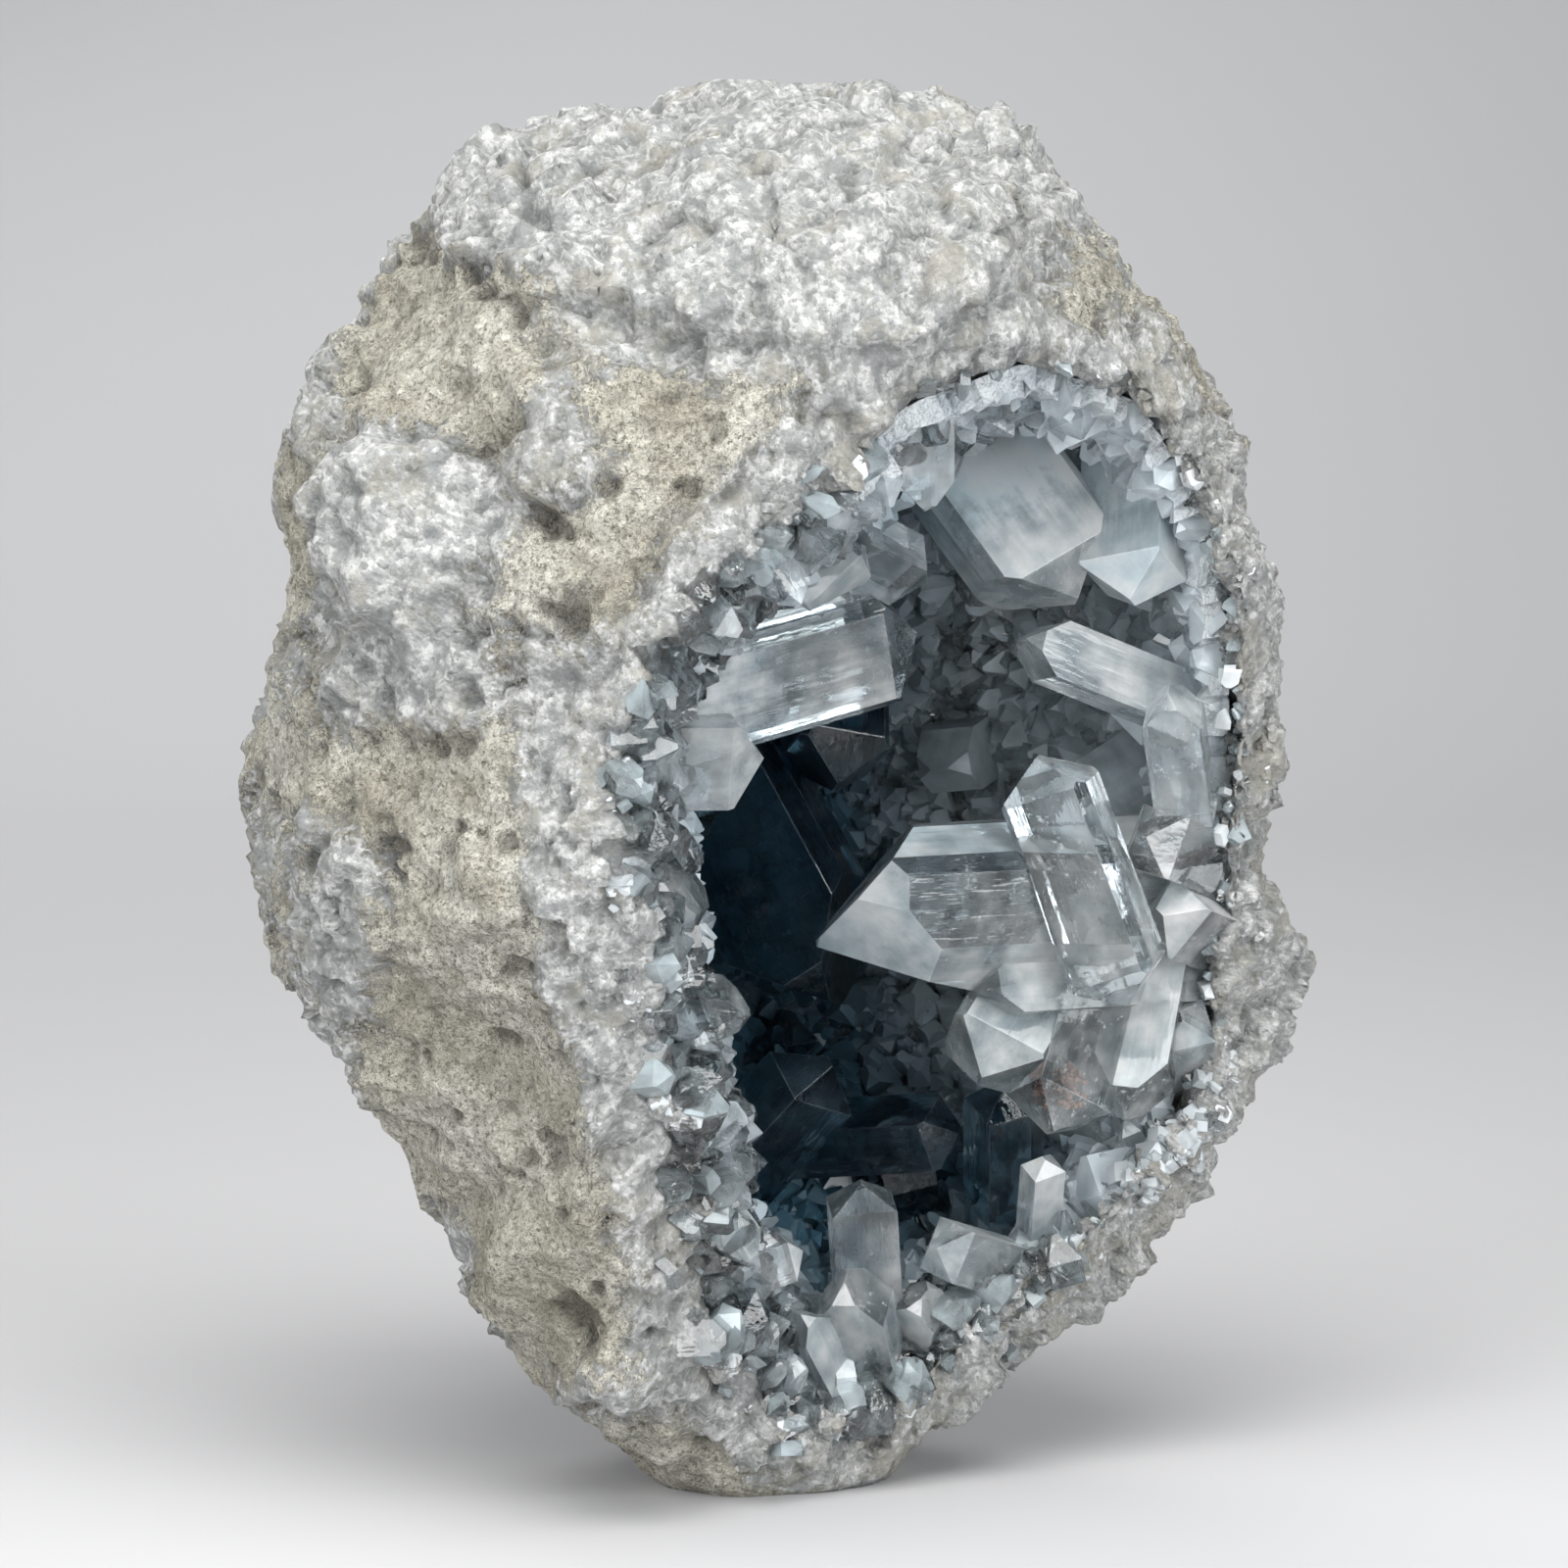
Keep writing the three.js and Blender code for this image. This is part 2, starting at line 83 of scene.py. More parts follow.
class Finish:
    """A material, built node by node."""

    def __init__(self, name):
        self.material = bpy.data.materials.new(name)
        self.material.use_nodes = True
        self.tree = self.material.node_tree
        self.tree.nodes.clear()

    def node(self, kind, settings=None, sockets=None, output=0):
        """Adds a node: its settings first, then the values or links of its sockets."""
        node = self.tree.nodes.new("ShaderNode" + kind)
        for name, value in (settings or {}).items():
            setattr(node, name, value)
        for name, value in (sockets or {}).items():
            if isinstance(value, Link):
                self.tree.links.new(value.socket, node.inputs[name])
            elif isinstance(value, tuple) and node.inputs[name].type == "RGBA":
                node.inputs[name].default_value = (*value, 1)
            else:
                node.inputs[name].default_value = value
        return None if output is None else Link(self, node.outputs[output])

    def place(self):
        return self.node("TexCoord", output="Object")

    def kept(self, name, output="Fac"):
        """A value that the mesh carries."""
        return self.node("Attribute", {"attribute_name": name}, output=output)

    def vector(self, operation, *terms):
        return self.node("VectorMath", {"operation": operation}, dict(enumerate(terms)))

    def speckle(self, size, detail=4, roughness=0.6, place=None):
        """Noise from 0 to 1 whose swells are about size metres across."""
        return self.node("TexNoise", sockets={
            "Vector": place or self.place(), "Scale": 1 / size, "Detail": detail, "Roughness": roughness,
        }, output="Fac")

    def blend(self, share, first, second):
        """first where share is 0, second where it is 1, as colours."""
        sockets = {"Factor": share, 6: first, 7: second}
        return self.node("Mix", {"data_type": "RGBA"}, sockets, output=2)

    def bump(self, height, depth, strength=1.0):
        return self.node("Bump", sockets={"Height": height, "Distance": depth, "Strength": strength})

    def ends(self, surface, volume=None):
        """Joins the surface, and the volume if it has one, to the output."""
        ends = {"Surface": surface, "Volume": volume} if volume else {"Surface": surface}
        self.node("OutputMaterial", sockets=ends, output=None)
        return self.material


def show(made):
    bpy.context.scene.collection.objects.link(made)


def mesh_object(name, points, faces, finishes, body="root"):
    """A piece from points in millimetres, fixed to a body of the part unless it has none."""
    mesh = bpy.data.meshes.new(name)
    mesh.from_pydata((np.asarray(points, float) / 1000).tolist(), [], [list(map(int, f)) for f in faces])
    mesh.update()
    made = bpy.data.objects.new(name, mesh)
    show(made)
    for finish in finishes:
        mesh.materials.append(finish)
    if body:
        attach(made, body)
    return made


# The table top from the side, as (y, z) in mm: flat, then a quarter round, then upright.
SWEEP_START, SWEEP_RADIUS, TABLE_TOP, TABLE_HALF_WIDTH = 700, 500, 2200, 2200
TABLE_PROFILE = [(-1500, 0), (SWEEP_START, 0)] + [
    (SWEEP_START + SWEEP_RADIUS * math.sin(t), SWEEP_RADIUS - SWEEP_RADIUS * math.cos(t))
    for t in np.linspace(0.1, math.pi / 2, 14)
] + [(SWEEP_START + SWEEP_RADIUS, TABLE_TOP)]
table_points = [(x, y, z) for x in (-TABLE_HALF_WIDTH, TABLE_HALF_WIDTH) for y, z in TABLE_PROFILE]
rows = len(TABLE_PROFILE)
table_faces = [(i, i + 1, i + 1 + rows, i + rows) for i in range(rows - 1)]
paper = Finish("pale_paper")
paper_tone = paper.blend(paper.speckle(0.4), (0.50, 0.50, 0.51), (0.53, 0.53, 0.54))
paper_surface = paper.node("BsdfPrincipled", sockets={"Base Color": paper_tone, "Roughness": 0.9})
table = mesh_object("table_top", table_points, table_faces, [paper.ends(paper_surface)], body=None)
table.data.shade_smooth()


def soft_light(name, place, aim, size, watts, colour):
    lamp = bpy.data.lights.new(name, "AREA")
    lamp.shape, lamp.size, lamp.size_y, lamp.energy, lamp.color = "RECTANGLE", *size, watts, colour
    held = bpy.data.objects.new(name, lamp)
    held.location = place
    held.rotation_euler = (Vector(aim) - Vector(place)).to_track_quat("-Z", "Y").to_euler()
    show(held)


soft_light("over_light", (0.00, -0.26, 0.60), (0, 0, 0.08), (0.60, 0.44), 5.0, (1, 0.99, 0.97))
soft_light("side_light", (-0.54, -0.72, 0.30), (0, 0, 0.07), (0.5, 0.5), 6.4, (0.99, 0.995, 1))
soft_light("front_light", (0.74, -0.84, 0.34), (0, 0, 0.06), (0.8, 0.7), 11, (0.98, 0.99, 1))
soft_light("back_light", (-0.20, 0.95, 0.62), (0, 0, 0.07), (0.6, 0.4), 4.0, (1, 0.995, 0.98))

studio = bpy.data.worlds.new("studio")
studio.use_nodes = True
studio.node_tree.nodes["Background"].inputs["Color"].default_value = (0.9, 0.95, 1, 1)
studio.node_tree.nodes["Background"].inputs["Strength"].default_value = 0.18
bpy.context.scene.world = studio
bpy.context.scene.view_settings.view_transform = "Standard"

EYE_DISTANCE = 0.620  # m
EYE_HEIGHT = math.radians(5)
looked_at = Vector((0, 0, 0.071))
eye = bpy.data.objects.new("eye", bpy.data.cameras.new("eye"))
eye.data.lens, eye.data.sensor_width = 139.5, 36
eye.data.clip_start, eye.data.clip_end = 0.01, 20
eye.location = looked_at + EYE_DISTANCE * Vector((0, -math.cos(EYE_HEIGHT), math.sin(EYE_HEIGHT)))
eye.rotation_euler = (looked_at - eye.location).to_track_quat("-Z", "Y").to_euler()
show(eye)
bpy.context.scene.camera = eye

# ---------------------------------------------------------------- shell of the nodule
# The nodule is one piece of sandy beige marl with massive white celestite grown through it, as
# a cap, in patches and as a thick band round the broken face. It is modelled from the packed
# solid: remeshed finely, then weathered, and it carries how much celestite there is at a point
# and how much shade is painted on it in its pits, its crevices and just inside the mouth.

SHELL_GRAIN = 0.62  # size of the fine mesh, mm
SHELL_PARTS = {"nodule_front": (-99, -8), "nodule_middle": (-8, 20), "nodule_back": (20, 99)}  # depths, mm
HOLLOW_MIDDLE = np.array([11.0, 3.0, 62.0])
NODULE_MIDDLE = np.array([0.0, 0.0, 72.0])
BREAK_NORMAL = np.array([0.56, -0.8, -0.21]) / np.linalg.norm([0.56, -0.8, -0.21])
BREAK_DISTANCE = 30.5  # of the broken face from the nodule's middle, mm
BACK_LIMIT = 20  # the rim lies before this depth, mm
BOX_MARGIN = 0.02  # how far the surface stays inside the solid's box, mm
REFRACTION = 1.62  # celestite's index
SAND_GRAIN = 0.00055  # size of the marl's sand grains, m

# The edge of the mouth from the front, as (x, z), clockwise from its top notch.
MOUTH = np.array([
    (10, 104), (17, 108.5), (25, 110), (33, 108), (39.5, 101), (43.5, 91), (45, 78), (44.5, 64),
    (43, 52), (43.5, 43), (41, 36), (33, 29), (24, 24), (17.5, 17), (9, 10.5), (0, 11.5),
    (-4, 20), (-6.5, 30), (-6.5, 42), (-9, 50), (-10, 61), (-11.5, 68), (-10.5, 78), (-7, 86),
    (-1, 92), (6, 97),
])

# Fields of bare marl on the front, as (x, z, half width, half height).
MARL_FIELDS = [
    (-33, 117, 9, 10), (-40, 122, 6, 7), (-6, 109, 13, 6.5), (-20, 97, 9, 6), (2, 112, 13, 4),
    (-40, 74.5, 13, 6.5), (-49, 98, 4.5, 8), (-34, 58, 8, 8), (-30, 44, 12, 11), (-19, 29, 11, 14),
    (-32, 71, 7, 8), (29, 124, 5, 7), (-14, 4, 9, 3.5), (-2.5, 4.5, 4.5, 3), (30, 18, 8, 5),
    (-40, 36, 6, 9), (-45, 83, 5, 3), (-14, 16, 6, 5),
]

# Fields of celestite that stand out of the marl on the front, likewise.
CELESTITE_FIELDS = [
    (2, 129, 24, 13), (-26, 131, 12, 7), (-36, 99, 9.5, 10), (-37, 84, 11, 7), (-22, 107, 6, 8),
    (-22, 68, 7, 12), (-20, 51, 5, 9), (-41, 56, 6, 10), (-48, 110, 4, 5), (-45, 44, 4, 5),
    (-7, 124, 12, 9), (-17, 14, 5, 4),
]

# Pits in the skin of the front, as (x, z, radius, depth).
PITS = [
    (-37, 126, 2.2, 1.6), (-31, 124.5, 1.8, 1.6), (-29.5, 122, 1.8, 1.5), (-24, 129.5, 2.2, 1.2),
    (-43, 113, 1.8, 1.3), (-20, 91, 2.4, 1.8), (-39, 68.5, 2, 1.8), (-22, 21, 2.6, 1.8),
    (-35, 108, 1.8, 1.2), (-24.5, 101, 1.4, 1.1), (-16, 103, 1.2, 1), (-30, 83, 1.6, 1.1),
    (-46, 66, 1.4, 1), (-26, 36, 1.4, 1), (-8.5, 103, 1.6, 1.1), (-34, 77.5, 1.2, 0.9),
]

# Lumps on the front, and dents with a rise below 0, as (x, z, half width, half height, rise),
# and the overhanging lower edge of the celestite cap, as (x, z).
LUMPS = [
    (-38, 98, 8, 10, 2.2), (-21, 107, 5.5, 7, 1.0), (-24, 124, 6, 3.5, 1.2), (-15.5, 15, 4.5, 4, 1.4),
    (-38, 84, 7, 5, 1.2), (26, 119, 6, 4, 0.9), (-42, 55, 4, 8, 0.9), (-30, 110, 5, 4, -1.0),
    (-33, 45, 8, 6, -0.9),
]
CAP_EDGE = np.array([
    (-28, 123), (-16, 119.5), (-10, 118.2), (-4, 116.6), (3, 115.6), (10, 116.2), (14, 118), (20, 121),
    (30, 124),
])


def smooth_step(value, low, high):
    t = np.clip((value - low) / (high - low), 0, 1)
    return t * t * (3 - 2 * t)


def ripple(points, size, seed):
    """Smooth noise from about -1 to 1 at points in mm, with swells of the given size."""
    return np.array([noise.noise(p) for p in (points / size + seed).tolist()])


def broken_blocks(points, size, seed):
    """Heights of small tilted blocks, each about size mm across, as broken crystal has."""
    heights = []
    for p in (points / size + seed).tolist():
        nearest = noise.voronoi(p)[1][0]
        tilt = noise.cell_vector(nearest * 61.7) - Vector((0.5, 0.5, 0.5))
        heights.append((Vector(p) - nearest).dot(tilt) * 2 + tilt.x)
    return np.array(heights) * 0.5 * size


mouth_from_middle = MOUTH - HOLLOW_MIDDLE[[0, 2]]
mouth_angles = np.arctan2(mouth_from_middle[:, 1], mouth_from_middle[:, 0])
mouth_order = np.argsort(mouth_angles)


def outside_mouth(points):
    """How far points lie outside the mouth's edge, seen from the front, in mm."""
    x, z = points[:, 0] - HOLLOW_MIDDLE[0], points[:, 2] - HOLLOW_MIDDLE[2]
    edge = np.interp(np.arctan2(z, x), mouth_angles[mouth_order],
                     np.hypot(*mouth_from_middle[mouth_order].T), period=2 * math.pi)
    return np.hypot(x, z) - edge


def in_fields(points, fields):
    """1 in the middle of a ragged field on the front, 0 outside all of them."""
    across = points[:, 0] + 5 * ripple(points, 11, 40.0) + 2.5 * ripple(points, 4, 41.0)
    up = points[:, 2] + 5 * ripple(points, 11, 50.0) + 2.5 * ripple(points, 4, 51.0)
    best = np.zeros(len(points))
    for x, z, wide, high in fields:
        reach = np.hypot((across - x) / wide, (up - z) / high)
        best = np.maximum(best, 1 - smooth_step(reach, 0.35, 1.5))
    return best * smooth_step(-points[:, 1], -2, 8)


def celestite_share(points, normals):
    """How much of the surface is celestite: 0 is bare marl, 1 is all celestite."""
    broken = smooth_step(normals @ BREAK_NORMAL, 0.55, 0.9)
    rim = broken * (1 - smooth_step(outside_mouth(points), 13, 22)) * (points[:, 1] < BACK_LIMIT)
    front = smooth_step(-points[:, 1], -2, 8)
    wander = 0.5 + 0.55 * ripple(points, 17, 5.2) + 0.35 * ripple(points, 6, 1.4)
    marl = in_fields(points, MARL_FIELDS)
    share = wander + 0.85 * in_fields(points, CELESTITE_FIELDS) - 0.8 * marl
    share = share + 0.3 * smooth_step(points[:, 2], 118, 134) + 0.15 * (1 - front)
    share = np.maximum(share, rim * (1.25 + 0.3 * ripple(points, 5, 2.2)) - 0.45 * marl)
    near_mouth = (outside_mouth(points) < 8) & (depth_in(points) > 0) & (points[:, 1] < BACK_LIMIT)
    share = np.maximum(share, near_mouth * 0.9)
    right_edge = 1.1 * smooth_step(points[:, 0], 36, 42) * smooth_step(-normals[:, 1], 0.1, 0.5)
    share = np.maximum(share, right_edge)
    low_right = (points[:, 0] > 20) & (points[:, 2] < 30)
    share = share - 1.3 * marl * low_right
    return np.clip(0.10 + 0.85 * (share + 0.25 * ripple(points, 3.2, 8.1)), 0, 1)


def depth_in(points):
    """How deep points lie behind the broken face, in mm."""
    return BREAK_DISTANCE - (points - NODULE_MIDDLE) @ BREAK_NORMAL


def fine_copy(node, size, smoothing):
    """A CAD node's mesh, remeshed finely and with its facets smoothed away."""
    held = bpy.data.objects.new("held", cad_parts[node].data.copy())
    show(held)
    remesh = held.modifiers.new("remesh", "REMESH")
    remesh.mode, remesh.voxel_size = "VOXEL", size / 1000
    relax = held.modifiers.new("relax", "SMOOTH")
    relax.factor, relax.iterations = 0.5, smoothing
    fine = bpy.data.meshes.new_from_object(held.evaluated_get(bpy.context.evaluated_depsgraph_get()))
    bpy.data.objects.remove(held)
    return fine


def points_and_normals(mesh):
    points, normals = np.zeros(len(mesh.vertices) * 3), np.zeros(len(mesh.vertices) * 3)
    mesh.vertices.foreach_get("co", points)
    mesh.vertex_normals.foreach_get("vector", normals)
    return points.reshape(-1, 3) * 1000, normals.reshape(-1, 3)


def keep_value(mesh, name, values):
    attribute = mesh.attributes.new(name, "FLOAT", "POINT")
    attribute.data.foreach_set("value", np.asarray(values, np.float32))


def keep_place(mesh, places):
    """Keeps where in its own crystal each corner is, in mm, for growth lines and veils."""
    attribute = mesh.attributes.new("grown", "FLOAT_VECTOR", "POINT")
    attribute.data.foreach_set("vector", (np.asarray(places) / 1000).astype(np.float32).ravel())


def spread(mesh, values, times):
    """Values of a mesh's points, averaged with their neighbours' that many times."""
    edges = np.zeros(len(mesh.edges) * 2, np.int32)
    mesh.edges.foreach_get("vertices", edges)
    start, end = np.concatenate([edges.reshape(-1, 2), edges.reshape(-1, 2)[:, ::-1]]).T
    neighbours = np.bincount(start, minlength=len(values))
    for _ in range(times):
        values = 0.3 * values + 0.7 * np.bincount(start, values[end], len(values)) / neighbours
    return values


shell_mesh = fine_copy("rock_nodule", SHELL_GRAIN, 16)
points, normals = points_and_normals(shell_mesh)
celestite = spread(shell_mesh, celestite_share(points, normals), 30)
inside_wall = (np.einsum("ij,ij->i", normals, HOLLOW_MIDDLE - points) > 0) & (outside_mouth(points) < 14)

pits = np.zeros(len(points))
ragged = 0.9 * ripple(points, 2.2, 12.0)
for x, z, radius, depth in PITS:
    away = np.hypot(points[:, 0] - x, points[:, 2] - z) / radius + ragged
    pits += depth * (1 - smooth_step(away, 0.3, 1.3)) * (points[:, 1] < 0)
scattered_pits = 1.0 * smooth_step(-ripple(points, 4.2, 33.0) - 0.4 * ragged, 0.42, 0.62)
marl_height = (
    1.1 * np.tanh(5 * ripple(points, 15, 3.1)) + 0.6 * np.tanh(5 * ripple(points, 6, 6.0))
    + 0.7 * ripple(points, 3.4, 6.0) + 0.5 * ripple(points, 1.8, 1.0) + 0.4 * ripple(points, 1.1, 2.0)
)
from_hollow = points - HOLLOW_MIDDLE
fibre_points = 45 * from_hollow / np.linalg.norm(from_hollow, axis=1, keepdims=True) + 0.25 * from_hollow
celestite_height = (
    0.35 + 1.2 * ripple(points, 9, 9.4) + 0.45 * broken_blocks(points, 6, 3.0)
    + 0.5 * np.tanh(4 * ripple(points, 4.5, 7.0)) + 0.8 * ripple(fibre_points, 2.6, 4.0)
    + 0.6 * ripple(fibre_points, 1.4, 5.0) + 0.4 * ripple(points, 1.2, 6.0)
)
lumps = np.zeros(len(points))
for x, z, wide, high, rise in LUMPS:
    reach = np.hypot((points[:, 0] - x) / wide, (points[:, 2] - z) / high) + 0.25 * ripple(points, 5, 60.0)
    lumps += rise * (1 - smooth_step(reach, 0.75, 1.1)) * (points[:, 1] < 0)
cap_edge = np.interp(points[:, 0], *CAP_EDGE.T) + 1.2 * ripple(points, 6, 70.0)
above_edge = points[:, 2] - cap_edge
overhang = 2.0 * smooth_step(above_edge, -0.5, 0.5) * (1 - smooth_step(above_edge, 2, 14))
overhang *= smooth_step(points[:, 0], -26, -16) * (1 - smooth_step(points[:, 0], 18, 28)) * (points[:, 1] < 0)
chosen = smooth_step(celestite + 0.25 * ripple(points, 2.5, 44.0), 0.3, 0.7)
height = (1 - chosen) * marl_height + chosen * celestite_height + lumps + overhang
height = height - pits - scattered_pits - 0.9
inner_height = (celestite_height - 0.4) * (1 - smooth_step(depth_in(points), 5, 9))
height = np.where(inside_wall, inner_height, height)
on_ground = points[:, 2] < 0.2
foot = np.array([*points[on_ground, :2].mean(0), 0])
tuck = (0.05 + 0.05 * ripple(points, 6, 80.0)) * (1 - smooth_step(points[:, 2], 0, 4))
points += (foot - points) * (1, 1, 0) * tuck[:, None]
height *= np.where(on_ground, 0, smooth_step(points[:, 2], 0, 2.5))
points += normals * height[:, None]
cad_low, cad_high = (np.array(corner) * 1000 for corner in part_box("rock_nodule"))
points = np.clip(points, cad_low + BOX_MARGIN, cad_high - BOX_MARGIN)
points[on_ground, 2] = 0
shell_mesh.vertices.foreach_set("co", (points / 1000).ravel())
shell_mesh.update()
points, normals = points_and_normals(shell_mesh)
broken = smooth_step(normals @ BREAK_NORMAL, 0.55, 0.9)
# Painted shade: the skin is darkened where it lies lower than its neighbours, in the pits, and on the inner
# wall just inside the left of the mouth, where shade falls.
lowness = np.clip(1.1 * (spread(shell_mesh, height, 12) - height), 0, 0.8) * (points[:, 2] > 0.5)
lowness = lowness * (1 - 0.7 * broken) * (0.4 + 0.6 * smooth_step(points[:, 2], 8, 30))
shaded = inside_wall * smooth_step(depth_in(points), -1, 4) * (points[:, 0] < 15)
skin_shade = np.clip(pits * 0.5 + scattered_pits * 0.5 + lowness + 0.9 * shaded, 0, 1)

stone = Finish("marl_and_celestite")
amount = stone.kept("celestite")
painted_shade_amount = stone.kept("painted_skin_shade")
outward = stone.vector("SUBTRACT", stone.place(), tuple(HOLLOW_MIDDLE / 1000))
spoke = stone.vector("NORMALIZE", outward)
spoke = stone.node("VectorMath", {"operation": "SCALE"}, {0: spoke, "Scale": 0.045})
fibre_place = stone.vector("MULTIPLY_ADD", outward, (0.22, 0.22, 0.22), spoke)
fibre = stone.speckle(0.0011, 6, 0.72, fibre_place)
sand = stone.speckle(0.0011, 6, 0.78)
clod = stone.speckle(0.0035, 5, 0.7)
grains = {"Vector": stone.place(), "Scale": 1 / SAND_GRAIN}
grain = stone.node("TexVoronoi", {"feature": "F1"}, grains, "Color")
grain_tone = stone.node("SeparateColor", sockets={"Color": grain}, output=0)
dome = stone.node("TexVoronoi", {"feature": "F1"}, grains, "Distance")
amount = (amount + (stone.speckle(0.0035, 11, 0.85) - 0.5) * 2.4 + (fibre - 0.5) * 1.1).within(0.38, 0.62)
bed = stone.speckle(0.012, 5, 0.6).within(0.35, 0.65)
marl_tone = stone.blend(bed, (0.76, 0.735, 0.625), (0.89, 0.875, 0.785))
marl_tone = stone.blend(clod.within(0.48, 0.68) * 0.6, marl_tone, (0.44, 0.42, 0.355))
marl_tone = stone.blend(stone.speckle(0.015, 6, 0.7).within(0.46, 0.64) * 0.65, marl_tone, (0.42, 0.38, 0.30))
marl_tone = stone.blend(grain_tone * 0.35, marl_tone, (0.20, 0.185, 0.15))
# Painted shade: the fine dark specks, and the dark where the sand noise that also raises the bump is low,
# stand for shade in the crevices between the grains.
marl_tone = stone.blend(stone.speckle(0.0006, 4, 0.75).within(0.34, 0.52), (0.26, 0.24, 0.19), marl_tone)
marl_tone = stone.blend(sand.within(0.30, 0.46), (0.22, 0.20, 0.16), marl_tone)
# Partly painted shade: the celestite turns grey where the fibre noise, which also raises the bump, is low, so
# the grey lies in the hollows between fibres; partly it is the celestite's own grey.
fibrous = (fibre * 0.8 + grain_tone * 0.2).within(0.36, 0.62)
white = stone.blend(fibrous, (0.36, 0.37, 0.36), (0.96, 0.96, 0.945))
white = stone.blend(grain_tone.within(0.70, 0.84) * 0.55, white, (0.33, 0.345, 0.35))
white = stone.blend(clod.within(0.50, 0.62) * 0.8, white, (0.36, 0.375, 0.375))
white = stone.blend(stone.speckle(0.0085, 7, 0.75).within(0.50, 0.62) * 0.7, white, (0.46, 0.44, 0.375))
relief = (sand * 0.8 + clod * 0.8 - dome * 0.2) + (fibre * 0.8) * amount
roughened = stone.bump(relief, 0.0014, 1.0)
sanded = stone.node("Bump", sockets={
    "Height": stone.speckle(0.0007, 3, 0.7), "Distance": 0.0010, "Normal": roughened})
# Painted shade: the marl and the celestite both turn dark where the painted skin shade is high.
marl = stone.node("BsdfPrincipled", sockets={
    "Base Color": stone.blend(painted_shade_amount * 0.7, marl_tone, (0.13, 0.12, 0.10)), "Roughness": 0.95,
    "Normal": sanded, "Specular IOR Level": 0.15})
massive = stone.node("BsdfPrincipled", sockets={
    "Base Color": stone.blend(painted_shade_amount * 0.6, white, (0.16, 0.17, 0.17)),
    "Roughness": 0.7 - grain_tone * 0.35, "Normal": roughened, "Specular IOR Level": 0.5})
stone_finish = stone.ends(stone.node("MixShader", sockets={0: amount, 1: marl, 2: massive}))


def part_of(mesh, chosen, name, finish, values):
    """Some of a mesh's faces as a piece of its own, with the shading of the whole."""
    points, normals = points_and_normals(mesh)
    polygons = [tuple(p.vertices) for p, keep in zip(mesh.polygons, chosen) if keep]
    used = np.unique(np.concatenate([np.array(p) for p in polygons]))
    renumbered = np.zeros(len(points), int)
    renumbered[used] = np.arange(len(used))
    made = mesh_object(name, points[used], [renumbered[list(p)] for p in polygons], [finish])
    made.data.shade_smooth()
    made.data.normals_split_custom_set_from_vertices(normals[used])
    for key, value in values.items():
        keep_value(made.data, key, value[used])
    return made


# The shell is shown in three parts, front to back, each with a mesh of its own.
middle_depth = np.array([p.center.y for p in shell_mesh.polygons]) * 1000
for name, (low, high) in SHELL_PARTS.items():
    chosen = (middle_depth >= low) & (middle_depth < high)
    shell = part_of(shell_mesh, chosen, name, stone_finish, {"celestite": celestite, "painted_skin_shade": skin_shade})
    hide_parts("rock_nodule")

# ---------------------------------------------------------------- grains of the celestite skin
# Where celestite reaches the skin it is a mass of broken white crystals, 1 to 3 mm across, each
# a blunt block with a roof, grown into the next. On the broken face they get larger and clearer
# towards the hollow.

random = np.random.default_rng(8)
SKIN_GRAINS, RIM_GRAINS, RIM_DRUSE = 2200, 2600, 900  # how many there are of each
LIP_CRYSTALS, THROAT_CRYSTALS = 480, 800
RIGHT_WALL = 30  # past this x, mm, the throat's crystals are short


def cut_crystal(planes):
    """Corners and faces, with each face's plane, of the convex body that planes enclose."""
    normals = np.array([p[:3] for p in planes], float)
    distances = np.array([p[3] for p in planes], float)
    triples = np.array(list(itertools.combinations(range(len(planes)), 3)))
    triples = triples[np.abs(np.linalg.det(normals[triples])) > 1e-6]
    corners = np.linalg.solve(normals[triples], distances[triples][..., None])[..., 0]
    corners = corners[(corners @ normals.T <= distances + 1e-6).all(1)]
    corners = np.unique(corners.round(4), axis=0)
    faces = []
    for number, (normal, distance) in enumerate(zip(normals, distances)):
        on = np.flatnonzero(np.abs(corners @ normal - distance) < 2e-3)
        if len(on) < 3:
            continue
        spokes = corners[on] - corners[on].mean(0)
        across = np.cross(normal, spokes[0])
        faces.append((number, on[np.argsort(np.arctan2(spokes @ across, spokes @ spokes[0]))]))
    return corners, faces


def crystal_planes(length, wide, deep, sharp=False, shift=0, roof=None, floats=False, bevelled=False):
    """The faces of a celestite crystal that grows up +Z from the origin: two broad and two
    narrow sides, the long bevels between them, and two crossing roofs at the tip."""
    broad, narrow = (39.4, 52) if sharp else (52, 39.4)
    left, right = roof or (broad, broad)
    lift = 0.12 * deep

    def ridge(angle, side, back, end, start):
        c, s = math.cos(math.radians(angle)), math.sin(math.radians(angle))
        return (side * c, back * c, end * s, start * s)

    def roofs(end, start):
        return [ridge(left, 1, 0, end, start), ridge(right, -1, 0, end, start),
                ridge(narrow, 0, 1, end, start + lift), ridge(narrow, 0, -1, end, start + lift)]

    planes = [(s, 0, 0, wide / 2 + s * shift) for s in (-1, 1)] + [(0, s, 0, deep / 2) for s in (-1, 1)]
    if bevelled:
        side, back = math.cos(math.radians(38)), math.sin(math.radians(38))
        reach = 0.87 * 0.5 * (side * wide + back * deep)
        planes += [(s * side, t * back, 0, reach + s * shift * side) for s in (-1, 1) for t in (-1, 1)]
    return planes + roofs(1, length) + (roofs(-1, 0) if floats else [(0, 0, -1, 0)])


